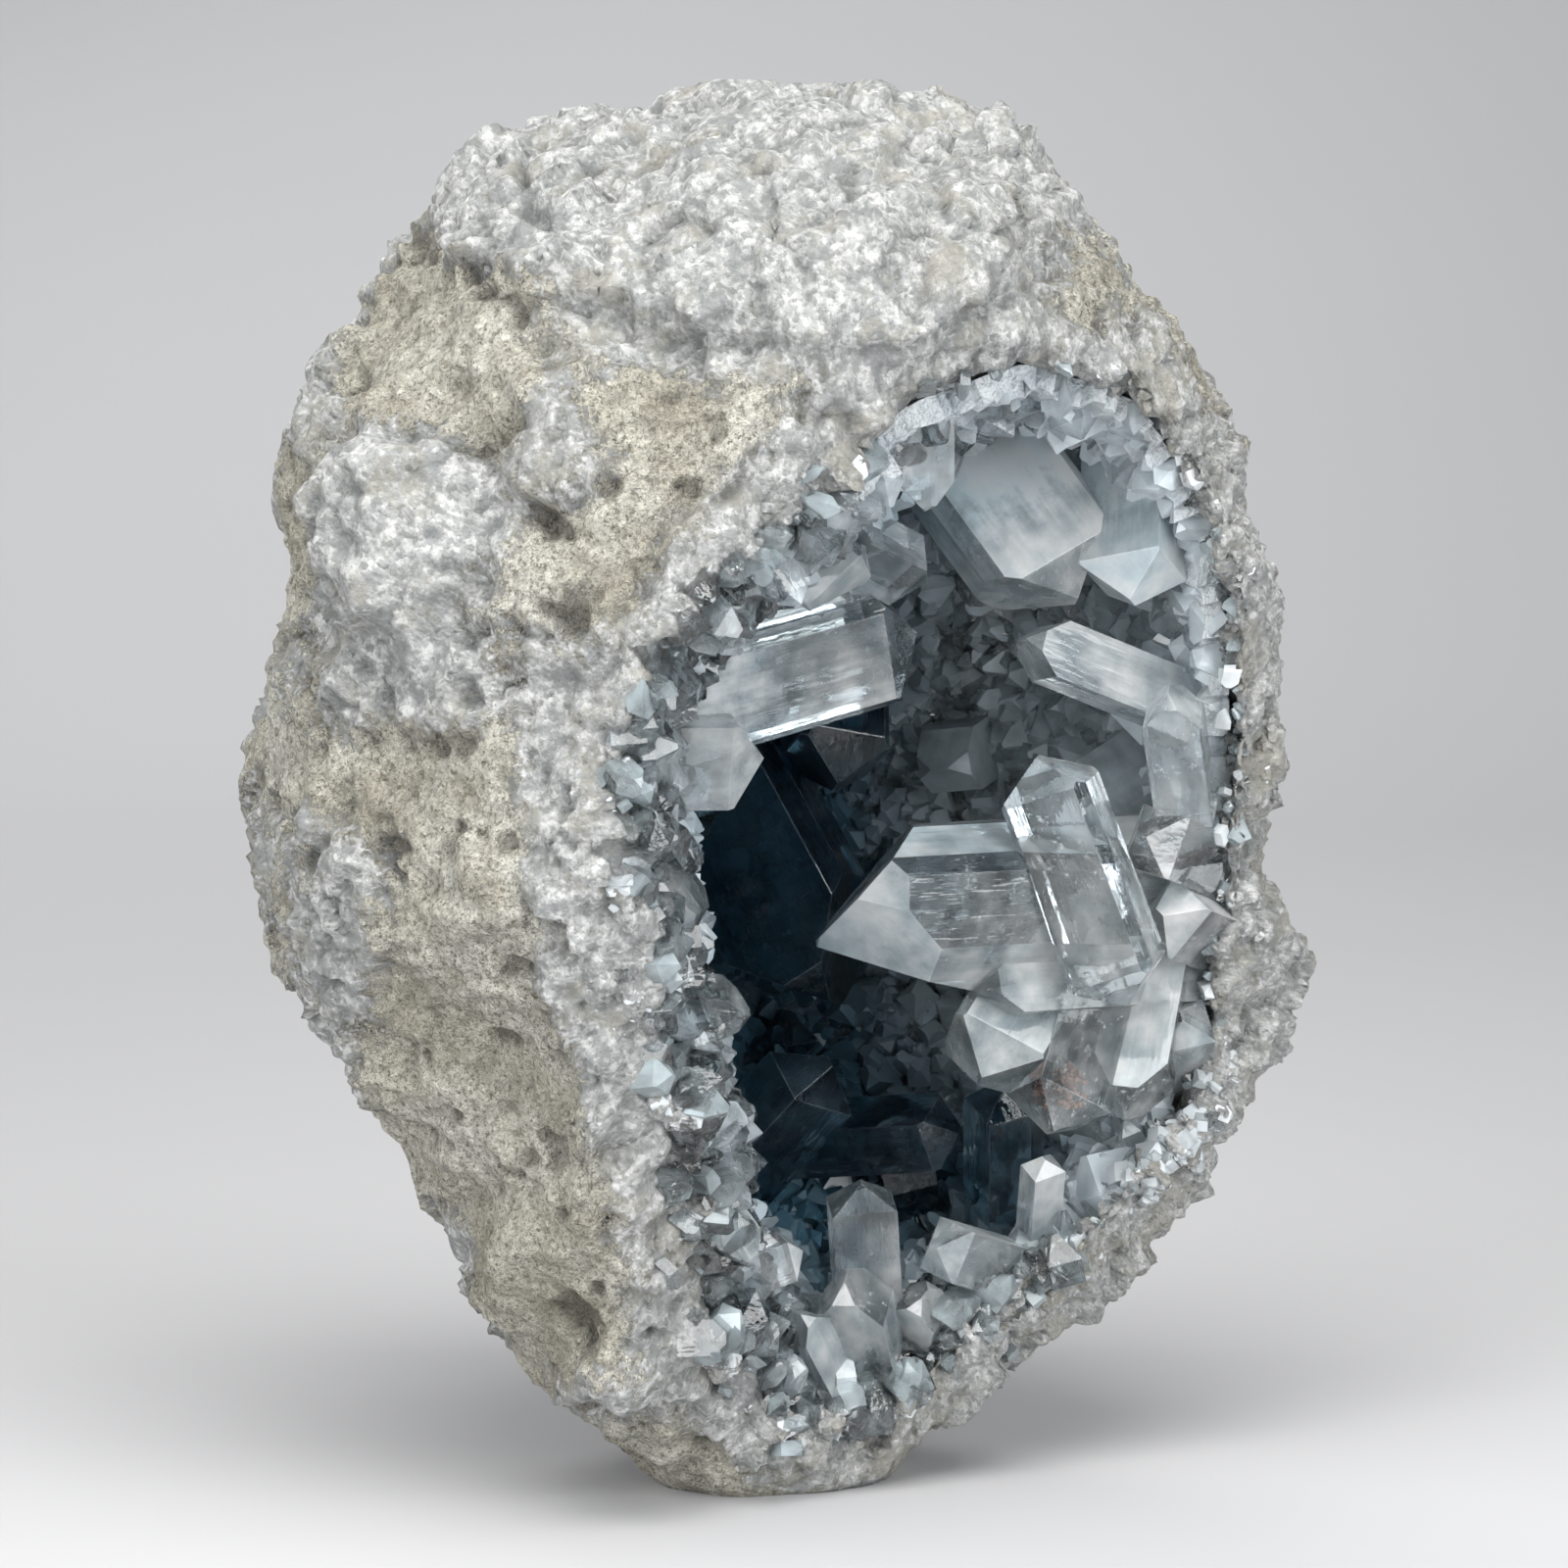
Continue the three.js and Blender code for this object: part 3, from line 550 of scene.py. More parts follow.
def standing(direction, turn):
    """Axes (sideways, through, along) of crystals along each direction, rolled by turn."""
    along = direction / np.linalg.norm(direction, axis=-1, keepdims=True)
    sideways = np.cross([0.0, 1.0, 0.0], along)
    short = np.linalg.norm(sideways, axis=-1) < 1e-3
    sideways[short] = (1, 0, 0)
    sideways /= np.linalg.norm(sideways, axis=-1, keepdims=True)
    through = np.cross(along, sideways)
    c, s = np.cos(turn)[..., None], np.sin(turn)[..., None]
    sideways = c * sideways + s * through
    return np.stack([sideways, np.cross(along, sideways), along], axis=-1)


# A dozen shapes of small crystal, one unit long, from stubby to slim.
SMALL_SHAPES = [
    cut_crystal(crystal_planes(1, w, d, sharp, shift, roof))
    for w, d, sharp, shift, roof in [
        (0.9, 0.7, False, 0, None), (0.7, 0.6, True, 0.05, None), (1.1, 0.6, False, 0.1, (60, 40)),
        (0.6, 0.45, True, 0, None), (0.8, 0.8, False, 0, None), (1.2, 0.9, True, -0.1, None),
        (0.55, 0.5, False, 0.04, (50, 35)), (1.0, 0.5, True, 0, (39, 55)), (0.75, 0.5, False, -0.05, None),
        (0.9, 0.9, True, 0, (30, 60)), (0.65, 0.4, False, 0, (64, 44)), (1.3, 1.0, False, 0, None),
    ]
]


def druse(name, feet, directions, lengths, girths, finish, values):
    """Makes many small crystals as one piece. values holds, by name, a number for each one."""
    axes = standing(directions, random.uniform(0, math.tau, len(feet)))
    shape_of = random.integers(0, len(SMALL_SHAPES), len(feet))
    places = random.uniform(0, 900, (len(feet), 3))
    parts, grown, faces, kept, count = [], [], [], {k: [] for k in values}, 0
    for shape, (corners, polygons) in enumerate(SMALL_SHAPES):
        mine = np.flatnonzero(shape_of == shape)
        sized = corners[None] * np.stack([girths[mine], girths[mine], lengths[mine]], 1)[:, None]
        placed = np.einsum("nij,nkj->nki", axes[mine], sized) + feet[mine][:, None]
        parts.append(placed.reshape(-1, 3))
        grown.append((sized + places[mine][:, None]).reshape(-1, 3))
        starts = count + len(corners) * np.arange(len(mine))
        for _, polygon in polygons:
            faces += (starts[:, None] + polygon[None]).tolist()
        for k, v in values.items():
            kept[k].append(np.repeat(v[mine], len(corners)))
        count += len(corners) * len(mine)
    inside_box = np.clip(np.concatenate(parts), cad_low + BOX_MARGIN, cad_high - BOX_MARGIN)
    made = mesh_object(name, inside_box, faces, [finish])
    for k, v in kept.items():
        keep_value(made.data, k, np.concatenate(v))
    keep_place(made.data, np.concatenate(grown))


def scatter(points, normals, faces, weights, count):
    """Places on a mesh of triangles, likelier where weights are high, and which way each faces."""
    a, b, c = (points[faces[:, k]] for k in range(3))
    area = np.linalg.norm(np.cross(b - a, c - a), axis=1) / 2
    likelihood = area * weights[faces].mean(1)
    chosen = random.choice(len(faces), count, p=likelihood / likelihood.sum())
    u, v = np.sqrt(random.random(count)), random.random(count)
    share = np.stack([1 - u, u * (1 - v), u * v], 1)
    spots = np.einsum("nk,nkj->nj", share, points[faces[chosen]])
    facing = np.einsum("nk,nkj->nj", share, normals[faces[chosen]])
    return spots, facing / np.linalg.norm(facing, axis=1, keepdims=True)


def triangles(mesh):
    mesh.calc_loop_triangles()
    found = np.zeros(len(mesh.loop_triangles) * 3, np.int32)
    mesh.loop_triangles.foreach_get("vertices", found)
    return found.reshape(-1, 3)


def celestite_crystal(name, blue, density, milk_at, pale, dark, roughness, frosted=0.0):
    """Clear pale blue crystal with milky parts. Its attributes say how milky a crystal is, how
    much shade is painted on it (there its milky parts are painted dark blue, as shade), how sugary
    its root is, and where in it a point is."""
    glass = Finish(name)
    milk = glass.kept("milk")
    deep = glass.kept("deep")
    grown = glass.kept("grown", "Vector")
    slender = glass.vector("MULTIPLY", grown, (1, 1, 0.12))
    streak = glass.speckle(0.0010, 2, 0.6, slender)
    veil = glass.speckle(0.007, 2, 0.5, grown)
    wisp = glass.speckle(0.0035, 5, 0.72, grown)
    rooted = glass.kept("root")
    sugar = (rooted * (0.5 + wisp) + (streak - 0.5) * 0.3).within(0.3, 0.75)
    share = milk + (veil - 0.5) * 0.8 + (streak - 0.5) * 0.2 + (wisp - 0.5) * 0.35
    share = share.within(*milk_at) + sugar * 0.5
    face = glass.bump(streak, 0.0001, 0.6)
    clear = glass.node("BsdfPrincipled", sockets={
        "Base Color": (1, 1, 1), "Roughness": roughness, "IOR": REFRACTION, "Transmission Weight": 1.0,
        "Normal": face})
    bright = tuple(min(0.95, 1.35 * c) for c in pale)
    less_dark = tuple(1.6 * c for c in dark)
    cloud = (veil * 0.6 + wisp * 0.3 + streak * 0.1).within(0.36, 0.64)
    # Painted shade: where deep is high, the milky parts take the dark tone instead of the pale one.
    tone = glass.blend(deep, glass.blend(cloud, pale, bright), glass.blend(cloud, dark, less_dark))
    milky = glass.node("BsdfPrincipled", sockets={
        "Base Color": tone, "Roughness": 0.3 + sugar * 0.3, "IOR": REFRACTION, "Normal": face,
        "Transmission Weight": frosted})
    mixed = glass.node("MixShader", sockets={0: share, 1: clear, 2: milky})
    volume = glass.node("VolumeAbsorption", sockets={"Color": blue, "Density": density})
    return glass.ends(mixed, volume)


SHADE_NAVY = (0.032, 0.075, 0.105)
rim_finish = celestite_crystal(
    "white_crystal", (0.80, 0.90, 0.95), 60, (0.0, 0.75), (0.56, 0.59, 0.605), (0.15, 0.175, 0.19), 0.25)
shell_faces = triangles(shell_mesh)
facing_hollow = np.einsum("ij,ij->i", normals, HOLLOW_MIDDLE - points) > 0
outside = outside_mouth(points)
skin = (celestite > 0.7) * ~facing_hollow * (points[:, 2] > 2)
skin = skin * smooth_step(ripple(points, 6, 20.0), 0.0, 0.5)
rim = smooth_step(normals @ BREAK_NORMAL, 0.2, 0.7) * (1 - smooth_step(outside, 3, 13))
rim *= ~facing_hollow * (points[:, 2] > 3) * smooth_step(celestite, 0.25, 0.55)


def sprout(facing, looseness, least, lean=0.0):
    """Directions of growth round facing, none of them lower than least against the surface."""
    directions = facing + lean + looseness * random.normal(size=facing.shape)
    short_of_least = np.clip(least - np.einsum("ij,ij->i", directions, facing), 0, None)
    return directions + facing * short_of_least[:, None]


def to_hollow(feet):
    inward = HOLLOW_MIDDLE - feet
    return inward / np.linalg.norm(inward, axis=1, keepdims=True)


patchy = smooth_step(ripple(points, 7, 90.0), -0.35, 0.25)
left_or_low = np.maximum(smooth_step(-points[:, 0], -12, 0), smooth_step(-points[:, 2], -45, -30))
left_or_low = 0.06 + 0.94 * left_or_low
feet, facing = scatter(points, normals, shell_faces, skin, SKIN_GRAINS)
lengths = random.uniform(0.6, 1.3, len(feet))
druse(
    "skin_grains", feet - facing * 0.85 * lengths[:, None], sprout(facing, 0.8, 0.3), lengths,
    lengths * random.uniform(0.7, 1.3, len(feet)), stone_finish,
    {"celestite": random.uniform(0.7, 1.0, len(feet)), "painted_skin_shade": np.zeros(len(feet))})

feet, facing = scatter(points, normals, shell_faces, rim * smooth_step(outside, 1, 5), RIM_GRAINS)
lengths = random.uniform(0.8, 2.4, len(feet))
druse(
    "rim_grains", feet - facing * 0.85 * lengths[:, None],
    sprout(facing, 0.7, 0.2, 0.7 * to_hollow(feet)), lengths,
    lengths * random.uniform(0.6, 1.1, len(feet)), stone_finish,
    {"celestite": random.uniform(0.8, 1.1, len(feet)), "painted_skin_shade": np.zeros(len(feet))})

inner_rim = rim * (1 - smooth_step(outside, 2, 7)) * patchy * left_or_low
feet, facing = scatter(points, normals, shell_faces, inner_rim, RIM_DRUSE)
closeness = 1 - smooth_step(outside_mouth(feet), 0, 8)
lengths = 0.8 + 0.8 * random.random(len(feet)) + 2.4 * closeness * random.random(len(feet)) ** 3
# Painted shade: the rim's crystals at the lower right get half of the dark shade tone.
druse(
    "rim_druse", feet - facing * 0.85 * lengths[:, None],
    sprout(facing, 0.9, 0.2, 0.8 * closeness[:, None] * to_hollow(feet)),
    lengths, lengths * random.uniform(0.6, 1.1, len(feet)), rim_finish,
    {"milk": random.uniform(0.6, 1.1, len(feet)) - 0.25 * closeness,
     "deep": 0.5 * smooth_step(feet[:, 0], 26, 34) * smooth_step(-feet[:, 2], -50, -38)})

# Along the lip of the mouth and just inside it stand larger, clearer ones, up to 6 mm long, half
# sunk in the mass.
lip_finish = celestite_crystal(
    "lip_crystal", (0.66, 0.83, 0.90), 60, (0.3, 1.7), (0.36, 0.42, 0.44), (0.10, 0.15, 0.20), 0.05)
lip = np.exp(-(outside / 3.2) ** 2) * (depth_in(points) < 7) * (points[:, 2] > 5) * (points[:, 0] < 34)
feet, facing = scatter(points, normals, shell_faces, lip * left_or_low * patchy, LIP_CRYSTALS)
lengths = random.uniform(2.4, 5.6, len(feet))
druse(
    "lip_crystals", feet - facing * 0.45 * lengths[:, None],
    sprout(facing, 0.5, 0.1, 0.8 * to_hollow(feet)), lengths,
    lengths * random.uniform(0.5, 0.95, len(feet)), lip_finish,
    {"milk": random.uniform(0.0, 1.3, len(feet)), "deep": np.zeros(len(feet))})
at_right = points[:, 0] > RIGHT_WALL
throat = facing_hollow * (depth_in(points) < 8) * (depth_in(points) > -1)
throat = throat * (outside < np.where(at_right, 2, 9)) * np.maximum(left_or_low, 0.6 * at_right)
feet, facing = scatter(points, normals, shell_faces, throat, THROAT_CRYSTALS)
lengths = random.uniform(1.6, 4.6, len(feet)) * np.where(feet[:, 0] > RIGHT_WALL, 0.55, 1)
druse(
    "throat_crystals", feet - facing * 0.3 * lengths[:, None], sprout(facing, 0.45, 0.1), lengths,
    lengths * random.uniform(0.5, 0.9, len(feet)), lip_finish,
    {"milk": random.uniform(0.1, 1.1, len(feet)), "deep": np.zeros(len(feet))})

# ---------------------------------------------------------------- lining of the hollow
# The crust that lines the hollow: a sheet of celestite 2.6 mm thick that the crystals stand on,
# grown on to the rock all over. It is painted dark blue as shade deep in the hollow, paler near the mouth.

CRUST_OFFSET = 2.9  # how far its inner face stands off the rock, mm
CRUST_SEAT = 0.35  # and its outer face
LINING_GRAIN = 1.3  # size of its mesh, mm
CRUST_START = 4.5  # how deep behind the broken face it starts, mm

lining_mesh = fine_copy("rock_nodule", LINING_GRAIN, 4)
points, normals = points_and_normals(lining_mesh)
faces = triangles(lining_mesh)
wall = (np.einsum("ij,ij->i", normals, HOLLOW_MIDDLE - points) > 0) & (depth_in(points) > CRUST_START)
faces = faces[wall[faces].all(1)]
used, faces = np.unique(faces, return_inverse=True)
faces = faces.reshape(-1, 3)
points, normals = points[used], normals[used]
thickness = (
    CRUST_OFFSET + 0.5 * broken_blocks(points, 5.0, 3.0) + 0.4 * broken_blocks(points, 2.6, 8.0) - 0.4
)
inner = points + normals * thickness[:, None]
outer = points + normals * CRUST_SEAT
edges = np.concatenate([faces[:, [0, 1]], faces[:, [1, 2]], faces[:, [2, 0]]])
known = {tuple(e) for e in edges.tolist()}
border = [(a, b) for a, b in edges.tolist() if (b, a) not in known]
count = len(points)
lining_faces = faces.tolist() + (faces[:, ::-1] + count).tolist()
lining_faces += [(b, a, a + count, b + count) for a, b in border]


def painted_hollow_shade(points):
    """How much shade is painted on the crystal, as dark blue: most at the back and left of the
    hollow, least near its mouth and where the lights reach.
    """
    lit = 0.9 * smooth_step(points[:, 0], 4, 22) * smooth_step(points[:, 2], 25, 50)
    return smooth_step(depth_in(points), 5, 30) * (1 - lit)


wall_crystal = Finish("wall_of_crystal")
deep = wall_crystal.kept("deep")
patch = wall_crystal.speckle(0.005, 5, 0.6).within(0.35, 0.65)
# Painted shade: the lining is pale near the mouth and navy where deep says it lies in shade.
wall_tone = wall_crystal.blend(deep, wall_crystal.blend(patch, (0.42, 0.47, 0.50), (0.72, 0.76, 0.78)),
                               wall_crystal.blend(patch, SHADE_NAVY, (0.09, 0.14, 0.18)))
growth = wall_crystal.speckle(0.0012, 4, 0.6)
wall_surface = wall_crystal.node("BsdfPrincipled", sockets={
    "Base Color": wall_tone, "Roughness": 0.3, "IOR": REFRACTION,
    "Normal": wall_crystal.bump(growth, 0.0010, 1.0)})
sheet = np.concatenate([inner, outer])
lining = mesh_object("crust_lining", sheet, lining_faces, [wall_crystal.ends(wall_surface)])
keep_value(lining.data, "deep", painted_hollow_shade(sheet))
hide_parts("crystal_crust")

# ---------------------------------------------------------------- druse of the hollow
# Small blue-grey crystals, 2 to 6 mm long, stand side by side all over the lining and point
# into the hollow, grown fast to it. They are painted dark blue deep inside, as shade, and paler near the
# mouth.

WALL_DRUSE = 6300
druse_finish = celestite_crystal(
    "druse_crystal", (0.42, 0.68, 0.80), 110, (0.15, 1.3), (0.52, 0.58, 0.61), SHADE_NAVY, 0.03)
bare = (1 - smooth_step(depth_in(inner), 6, 16)) * smooth_step(inner[:, 0] + 0.5 * inner[:, 2], 45, 60)
feet, facing = scatter(inner, normals, faces, 1 - 0.8 * bare, WALL_DRUSE)
deepness = painted_hollow_shade(feet)
lengths = random.uniform(1.8, 4.6, len(feet))
massed = 1 - smooth_step(deepness, 0.1, 0.6)
# Deeper in the shade the crystals are milkier, so more of their painted dark shade tone shows.
right_milk, deep_milk = 0.6 * smooth_step(feet[:, 0], 14, 28), 1.5 * smooth_step(deepness, 0.2, 0.5)
druse(
    "wall_druse", feet - facing * (0.8 + massed * 0.45 * lengths)[:, None],
    sprout(facing, 0.45, 0.2), lengths * (1 + 0.3 * massed),
    lengths * random.uniform(0.5, 0.9, len(feet)) * (1 + 0.5 * massed), druse_finish,
    {"milk": random.uniform(0.0, 0.7, len(feet)) + right_milk + deep_milk, "deep": deepness})

# ---------------------------------------------------------------- large crystals
# The large crystals of the hollow, up to 4 cm long, grown from the crust: clear to milky pale
# blue blades with broad faces, long bevels and roofed tips.

GREAT_START, GREAT_LENGTH = np.array([12.5, -14, 60]), 40  # behind its tip, mm
GREAT_DIRECTION = np.array([[-0.877, -0.48, 0.0]])
WALL_POINTS = 34  # directions in which a middling crystal may stand
WALL_SEAT = 1.4  # how far its root lies behind the crust's inner face, mm
OPEN_REACH = 0.04  # the wall's distance where a direction misses the rock, m
CHAMFER = 0.0001  # width of the fine chamfers, m
VEIL_INSET, VEIL_HALF = 0.35, 0.03  # from the crystal's faces, and half its thickness, mm

# The great crystal in the middle, by its facets: normal, a point on it, and how milky it is.
GREAT_CRYSTAL = [
    ((0.48, -0.877, 0), (12.5, -16.1, 60), 0.42),  # broad front
    ((0.393, -0.718, 0.574), (12.5, -16.1, 63.2), 0.15),  # long bevels above it
    ((0.203, -0.371, 0.906), (12.5, -14.66, 65), 0.95),
    ((0, 0, 1), (20, -8, 67.4), 0.6),
    ((0.368, -0.672, -0.643), (15.8, -14.3, 55.7), 0.62),  # long bevel below it
    ((0, 0, -1), (20, -8, 50.7), 0.6),
    ((-0.149, -0.989, 0), (12.5, -16.1, 63.2), 0.75),  # facets of the tip
    ((-0.24, -0.80, -0.55), (12.5, -16.1, 59.7), 0.92),
    ((-0.755, 0, 0.655), (13, -12, 67.4), 0.6),
    ((-0.29, 0, -0.957), (5.5, -12, 54.8), 0.6),
    ((-0.95, -0.3, -0.05), (3.8, -12, 56.5), 0.85),
    ((-0.928, 0.373, 0), (4, -8, 57), 0.5),
    ((-0.48, 0.877, 0), (20, 1.69, 60), 0.4),  # the back and its bevels
    ((-0.378, 0.691, 0.616), (20, 1.69, 64), 0.5),
    ((-0.378, 0.691, -0.616), (20, 1.69, 54), 0.5),
    ((0.877, 0.48, 0), (44, 8, 57), 0.5),  # the root
]

LARGE_CRYSTALS = [
    dict(facets=GREAT_CRYSTAL),
    dict(tip=(35, -7, 49.2), root=(25.5, -8, 74.5), wide=9.4, deep=7.5, turn=20, floats=True, milk=0.3),
    dict(tip=(19, -8, 50.8), root=(44, 6, 50.6), wide=6.4, deep=6, turn=20, sharp=True),
    dict(tip=(19.8, -9, 41.6), root=(30, 6, 56), wide=11, deep=8, turn=12),
    dict(tip=(26.9, -9, 36.4), root=(33, 3, 55), wide=8.6, deep=7, turn=-20, milk=0.4),
    dict(tip=(34.5, -6, 37.7), root=(38.5, 5, 55), wide=8, deep=6.5, turn=15, sharp=True),
    dict(tip=(7.7, -12, 31.9), root=(9, -5, 10), wide=6.6, deep=5, turn=6, milk=0.3),
    dict(tip=(6.2, -15, 22.8), root=(9, -7, 10), wide=7.2, deep=5.6, turn=-18, sharp=True, milk=0.6),
    dict(tip=(1.2, -17, 19.4), root=(5.5, -10, 10), wide=4.2, deep=3.4, turn=40, sharp=True, milk=0.5),
    dict(tip=(14.2, -12, 20.5), root=(13, -2, 12), wide=5, deep=4, turn=-25, sharp=True, milk=0.6),
    dict(tip=(12.8, -20, 88), root=(-15, -29, 80.5), wide=11.5, deep=9, turn=20, milk=0.3, sugar=0.8),
    dict(tip=(14, -14, 92.6), root=(2, -21, 99), wide=6, deep=5, turn=35),
    dict(tip=(7.7, -22, 97.5), root=(1, -24, 91), wide=5.5, deep=5, turn=-30),
    dict(tip=(29.5, -6, 90), root=(14.5, 2, 110.5), wide=15.5, deep=8, turn=-22, milk=0.75, sugar=1.3),
    dict(tip=(35, -8, 90), root=(36, 3, 108), wide=8.8, deep=7.5, turn=28, milk=1.0, sugar=1.1),
    dict(tip=(23.9, -6, 86.2), root=(43, 3, 78), wide=6, deep=5, turn=20, sharp=True, milk=0.5),
    dict(tip=(38.6, -10, 81.5), root=(41, -2, 68), wide=5.8, deep=4.4, turn=-15, sharp=True),
    dict(tip=(-2.1, -29, 76.3), root=(-16, -32, 76.4), wide=8.4, deep=8, turn=14),
    dict(tip=(-7.4, -33, 62.9), root=(-22, -37, 63.5), wide=9.5, deep=8, turn=40, sharp=True),
    dict(tip=(-3.3, -30, 51.4), root=(-15, -33, 53), wide=5, deep=4.4, turn=28, sharp=True, milk=0.3),
    dict(tip=(-3, -25, 25.5), root=(-11, -26, 37), wide=5, deep=4.2, turn=-12, sharp=True),
    dict(tip=(1.8, -17, 25.8), root=(-8, -20, 22.5), wide=4.4, deep=3.6, turn=18),
    dict(tip=(15, -12, 25.3), root=(25, 0, 20.5), wide=5.6, deep=5, turn=5),
    dict(tip=(26.4, -6, 33.4), root=(26, 1, 23), wide=3.6, deep=3, turn=30),
    dict(tip=(36, -8, 66.5), root=(44.5, 4, 62), wide=6.5, deep=6, turn=10),
    dict(tip=(38, -6, 58.5), root=(45, 5, 55), wide=6.5, deep=6, turn=-14),
    dict(tip=(40.5, -3, 47.5), root=(41, 8, 40), wide=6, deep=5, turn=10),
    # The dark ones stand at the back of the hollow and get painted shade.
    dict(tip=(5.4, 8, 47.5), root=(-14, 24, 82), wide=17, deep=11, turn=14, sharp=True, dark=True),
    dict(tip=(5.3, 12, 69.6), root=(5, 25, 90), wide=10, deep=9, turn=-22, dark=True),
    dict(tip=(4.8, 5, 41.8), root=(-12, 14, 22), wide=8.5, deep=7, turn=44, dark=True),
    dict(tip=(18.3, 7, 34.3), root=(1, 16, 32), wide=6, deep=6, turn=24, dark=True),
    dict(tip=(22.6, 3, 40), root=(23, 12, 20), wide=6.4, deep=6, turn=25, dark=True),
    dict(tip=(28, 8, 66), root=(40, 24, 72), wide=8, deep=7, turn=15, sharp=True, massed=True),
]


def chance(index, kind):
    """A number from 0 to 1 that looks random but is the same each time."""
    value = math.sin(index * 12.9898 + kind * 78.233) * 43758.5453
    return value - math.floor(value)


rock_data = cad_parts["rock_nodule"].data
rock_tree = BVHTree.FromPolygons(
    [v.co for v in rock_data.vertices], [tuple(p.vertices) for p in rock_data.polygons])
for i in range(WALL_POINTS):
    up = 1 - 2 * (i + 0.5) / WALL_POINTS
    turn = i * math.pi * (3 - math.sqrt(5))
    flat = math.sqrt(1 - up * up)
    outward = np.array([flat * math.cos(turn), flat * math.sin(turn), up])
    if -outward[1] > 0.62:
        continue
    hit = rock_tree.ray_cast(Vector(HOLLOW_MIDDLE / 1000), Vector(outward))[3]
    reach = (hit or OPEN_REACH) * 1000 - CRUST_OFFSET
    lean = np.array([chance(i, 1), chance(i, 2), chance(i, 3)]) - 0.5
    inward = lean - outward
    inward /= np.linalg.norm(inward)
    wide = 5 + 3.5 * chance(i, 5)
    at = HOLLOW_MIDDLE + outward * reach
    if depth_in(at) < 6:
        continue
    # Wall crystals with much painted shade are marked dark.
    LARGE_CRYSTALS.append(dict(
        tip=tuple(at + inward * (6 + 5 * chance(i, 4))), root=tuple(at - inward * WALL_SEAT), wide=wide,
        deep=wide * (0.65 + 0.25 * chance(i, 6)), turn=180 * chance(i, 7), sharp=chance(i, 8) < 0.5,
        dark=painted_hollow_shade(at[None])[0] > 0.4, massed=depth_in(at) > 18))

clear_finish = celestite_crystal(
    "clear_crystal", (0.55, 0.78, 0.86), 30, (0.15, 1.35), (0.70, 0.83, 0.88), (0.07, 0.16, 0.21), 0.015, 0.4)
# A shaded copy of the crystal finish: its milky parts are painted near-black blue, as shade at the back of
# the hollow.
deep_finish = celestite_crystal(
    "shaded_blue_crystal", (0.20, 0.53, 0.67), 130, (0.0, 1.4), (0.30, 0.40, 0.47), (0.008, 0.022, 0.036), 0.03)
# The chamfers get a paler, milkier finish: partly chipped, whitened edges, partly a painted highlight along
# the edges.
edge_finish = celestite_crystal(
    "crystal_edge", (0.8, 0.9, 0.95), 40, (-0.1, 1.8), (0.74, 0.80, 0.84), (0.14, 0.21, 0.26), 0.06)


def grow(name, crystals, finish, milk, least_deep):
    """Makes large crystals as one piece with fine chamfers. Each facet has its own milkiness."""
    corners, grown, rooted, faces, values = [], [], [], [], []
    upright = standing(GREAT_DIRECTION, np.zeros(1))[0]
    for crystal in crystals:
        if "facets" in crystal:
            planes = [(*n, float(np.dot(n, p))) for n, p, _ in crystal["facets"]]
            own, polygons = cut_crystal(planes)
            length, axes, root = GREAT_LENGTH, np.eye(3), 0
            place = (own - GREAT_START) @ upright + (0, 0, length)
            milkiness = [m for _, _, m in crystal["facets"]]
        else:
            tip, root = np.array(crystal["tip"], float), np.array(crystal["root"], float)
            length, wide = float(np.linalg.norm(tip - root)), crystal["wide"]
            planes = crystal_planes(
                length, wide, crystal["deep"], crystal.get("sharp", False),
                floats=crystal.get("floats", False), bevelled=wide >= 9)
            place, polygons = cut_crystal(planes)
            axes = standing((tip - root)[None], np.array([math.radians(crystal["turn"])]))[0]
            own = place @ axes.T + root
            milkiness = crystal.get("milk", milk) + facet_random.uniform(-0.25, 0.25, len(planes))
        start = sum(len(c) for c in corners)
        if not crystal.get("dark") and not crystal.get("massed"):
            veiled.append((planes, axes, root))
        corners.append(own)
        grown.append(place + random.uniform(0, 900, 3))
        rooted.append((1 - np.clip(place[:, 2] / length, 0, 1)) * crystal.get("sugar", 0))
        faces += [[start + k for k in polygon] for _, polygon in polygons]
        values += [milkiness[number] for number, _ in polygons]
    corners = np.concatenate(corners)
    made = mesh_object(name, corners, faces, [finish, edge_finish])
    keep_place(made.data, np.concatenate(grown))
    milk_of_faces = made.data.attributes.new("milk", "FLOAT", "FACE")
    milk_of_faces.data.foreach_set("value", np.array(values, np.float32))
    keep_value(made.data, "deep", np.maximum(least_deep, painted_hollow_shade(corners)))
    keep_value(made.data, "root", np.concatenate(rooted))
    chamfer = made.modifiers.new("chamfer", "BEVEL")
    chamfer.width, chamfer.segments, chamfer.material = CHAMFER, 2, 1
    chamfer.limit_method, chamfer.angle_limit = "ANGLE", math.radians(15)
    sharpened = bpy.data.meshes.new_from_object(made.evaluated_get(bpy.context.evaluated_depsgraph_get()))
    made.modifiers.clear()
    made.data = sharpened


veiled = []
facet_random = np.random.default_rng(5)
# Crystals marked dark lie in shade and get the shaded finish, with at least 0.85 of painted shade.
dark_ones = [crystal for crystal in LARGE_CRYSTALS if crystal.get("dark")]
pale_ones = [crystal for crystal in LARGE_CRYSTALS if not crystal.get("dark")]
grow("large_crystals", [c for c in pale_ones if not c.get("massed")], clear_finish, 0.55, 0)
grow("wall_crystals", [c for c in pale_ones if c.get("massed")], druse_finish, 1.2, 0)
grow("deep_crystals", dark_ones, deep_finish, 0.35, 0.85)

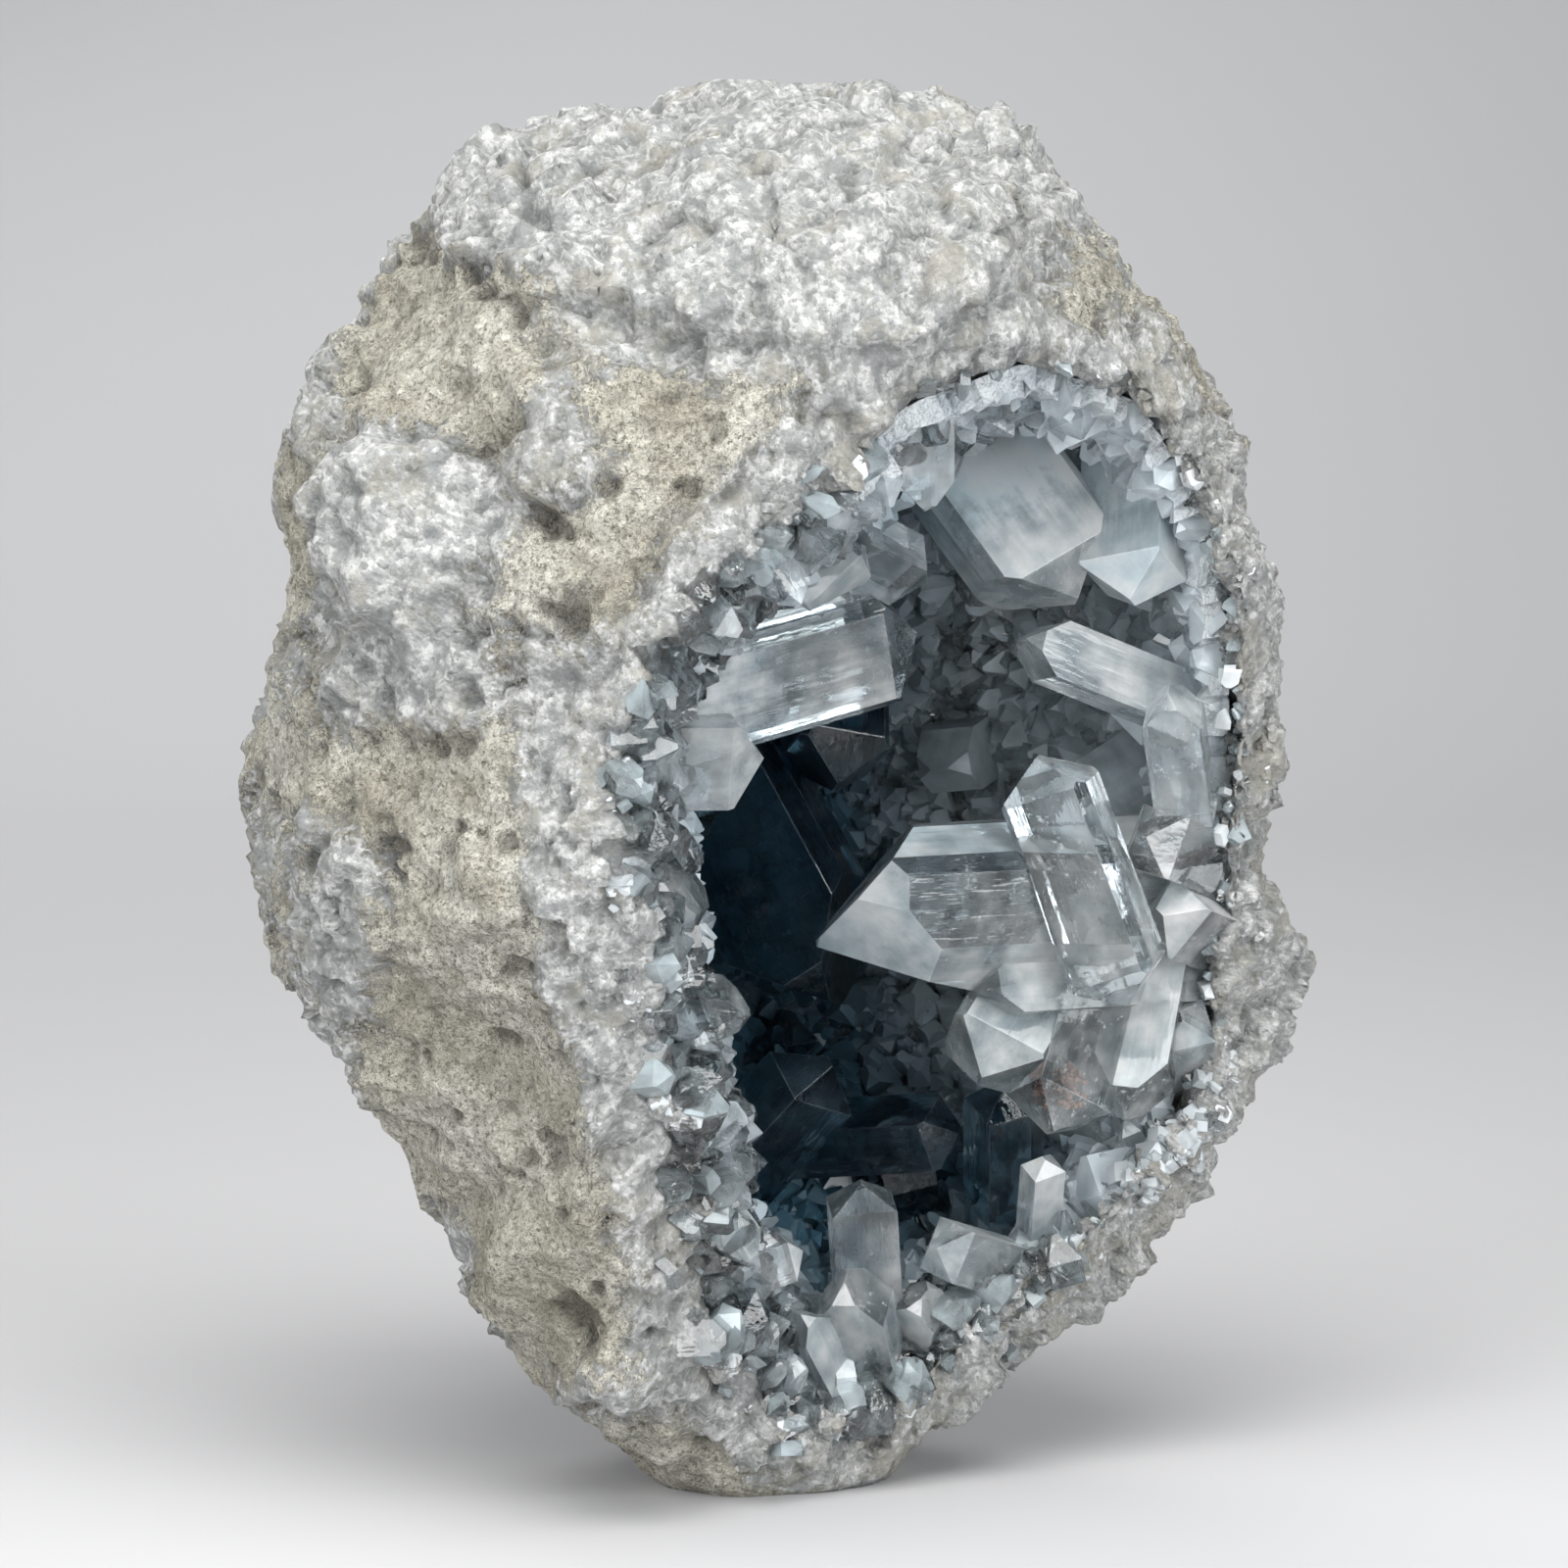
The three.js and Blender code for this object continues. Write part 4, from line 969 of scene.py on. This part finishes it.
# Veils: thin, ragged sheets of tiny bubbles inside the clear crystals, where cracks have healed.
veil_finish = Finish("healed_veil")
grown = veil_finish.kept("grown", "Vector")
ragged_sheet = veil_finish.speckle(0.0035, 6, 0.75, grown).within(0.50, 0.62)
bubbles = veil_finish.speckle(0.0006, 4, 0.7, grown).within(0.52, 0.66)
veil_surface = veil_finish.node("BsdfPrincipled", sockets={
    "Base Color": (0.86, 0.90, 0.92), "Roughness": 0.4, "Alpha": ragged_sheet * bubbles * 0.75})
corners, grown_places, faces = [], [], []
for planes, axes, root in veiled:
    inset = [(*plane[:3], plane[3] - VEIL_INSET) for plane in planes]
    inset_corners = cut_crystal(inset)[0]
    middle, size = inset_corners.mean(0), np.ptp(inset_corners, axis=0)
    for _ in range(3 if size.max() > 14 else 2):
        normal = random.normal(size=3) * (1, 1, 1.6)
        normal /= np.linalg.norm(normal)
        through = float(normal @ (middle + size * random.uniform(-0.3, 0.3, 3)))
        sheet = [(*normal, VEIL_HALF + through), (*-normal, VEIL_HALF - through)]
        own, polygons = cut_crystal(inset + sheet)
        start = sum(len(c) for c in corners)
        corners.append(own @ axes.T + root)
        grown_places.append(own + random.uniform(0, 900, 3))
        faces += [[start + k for k in polygon] for _, polygon in polygons]
veils = mesh_object("healed_veils", np.concatenate(corners), faces, [veil_finish.ends(veil_surface)])
keep_place(veils.data, np.concatenate(grown_places))

# A clot of red-brown clay caught in the crystal under the great one.
clay = Finish("red_clay")
clay_patches = clay.speckle(0.0008, 4, 0.7).within(0.35, 0.65)
clay_tone = clay.blend(clay_patches, (0.13, 0.07, 0.05), (0.36, 0.23, 0.18))
clay_surface = clay.node("BsdfPrincipled", sockets={"Base Color": clay_tone, "Roughness": 0.85})
specks = 46
clot_at = np.array([28.0, -6.6, 41.2]) + random.normal(size=(specks, 3)) * (0.8, 0.5, 1.0)
clot_size = random.uniform(0.4, 1.1, specks)
speck_directions = random.normal(size=(specks, 3))
druse("clay_clot", clot_at, speck_directions, clot_size, clot_size * 0.9, clay.ends(clay_surface), {})
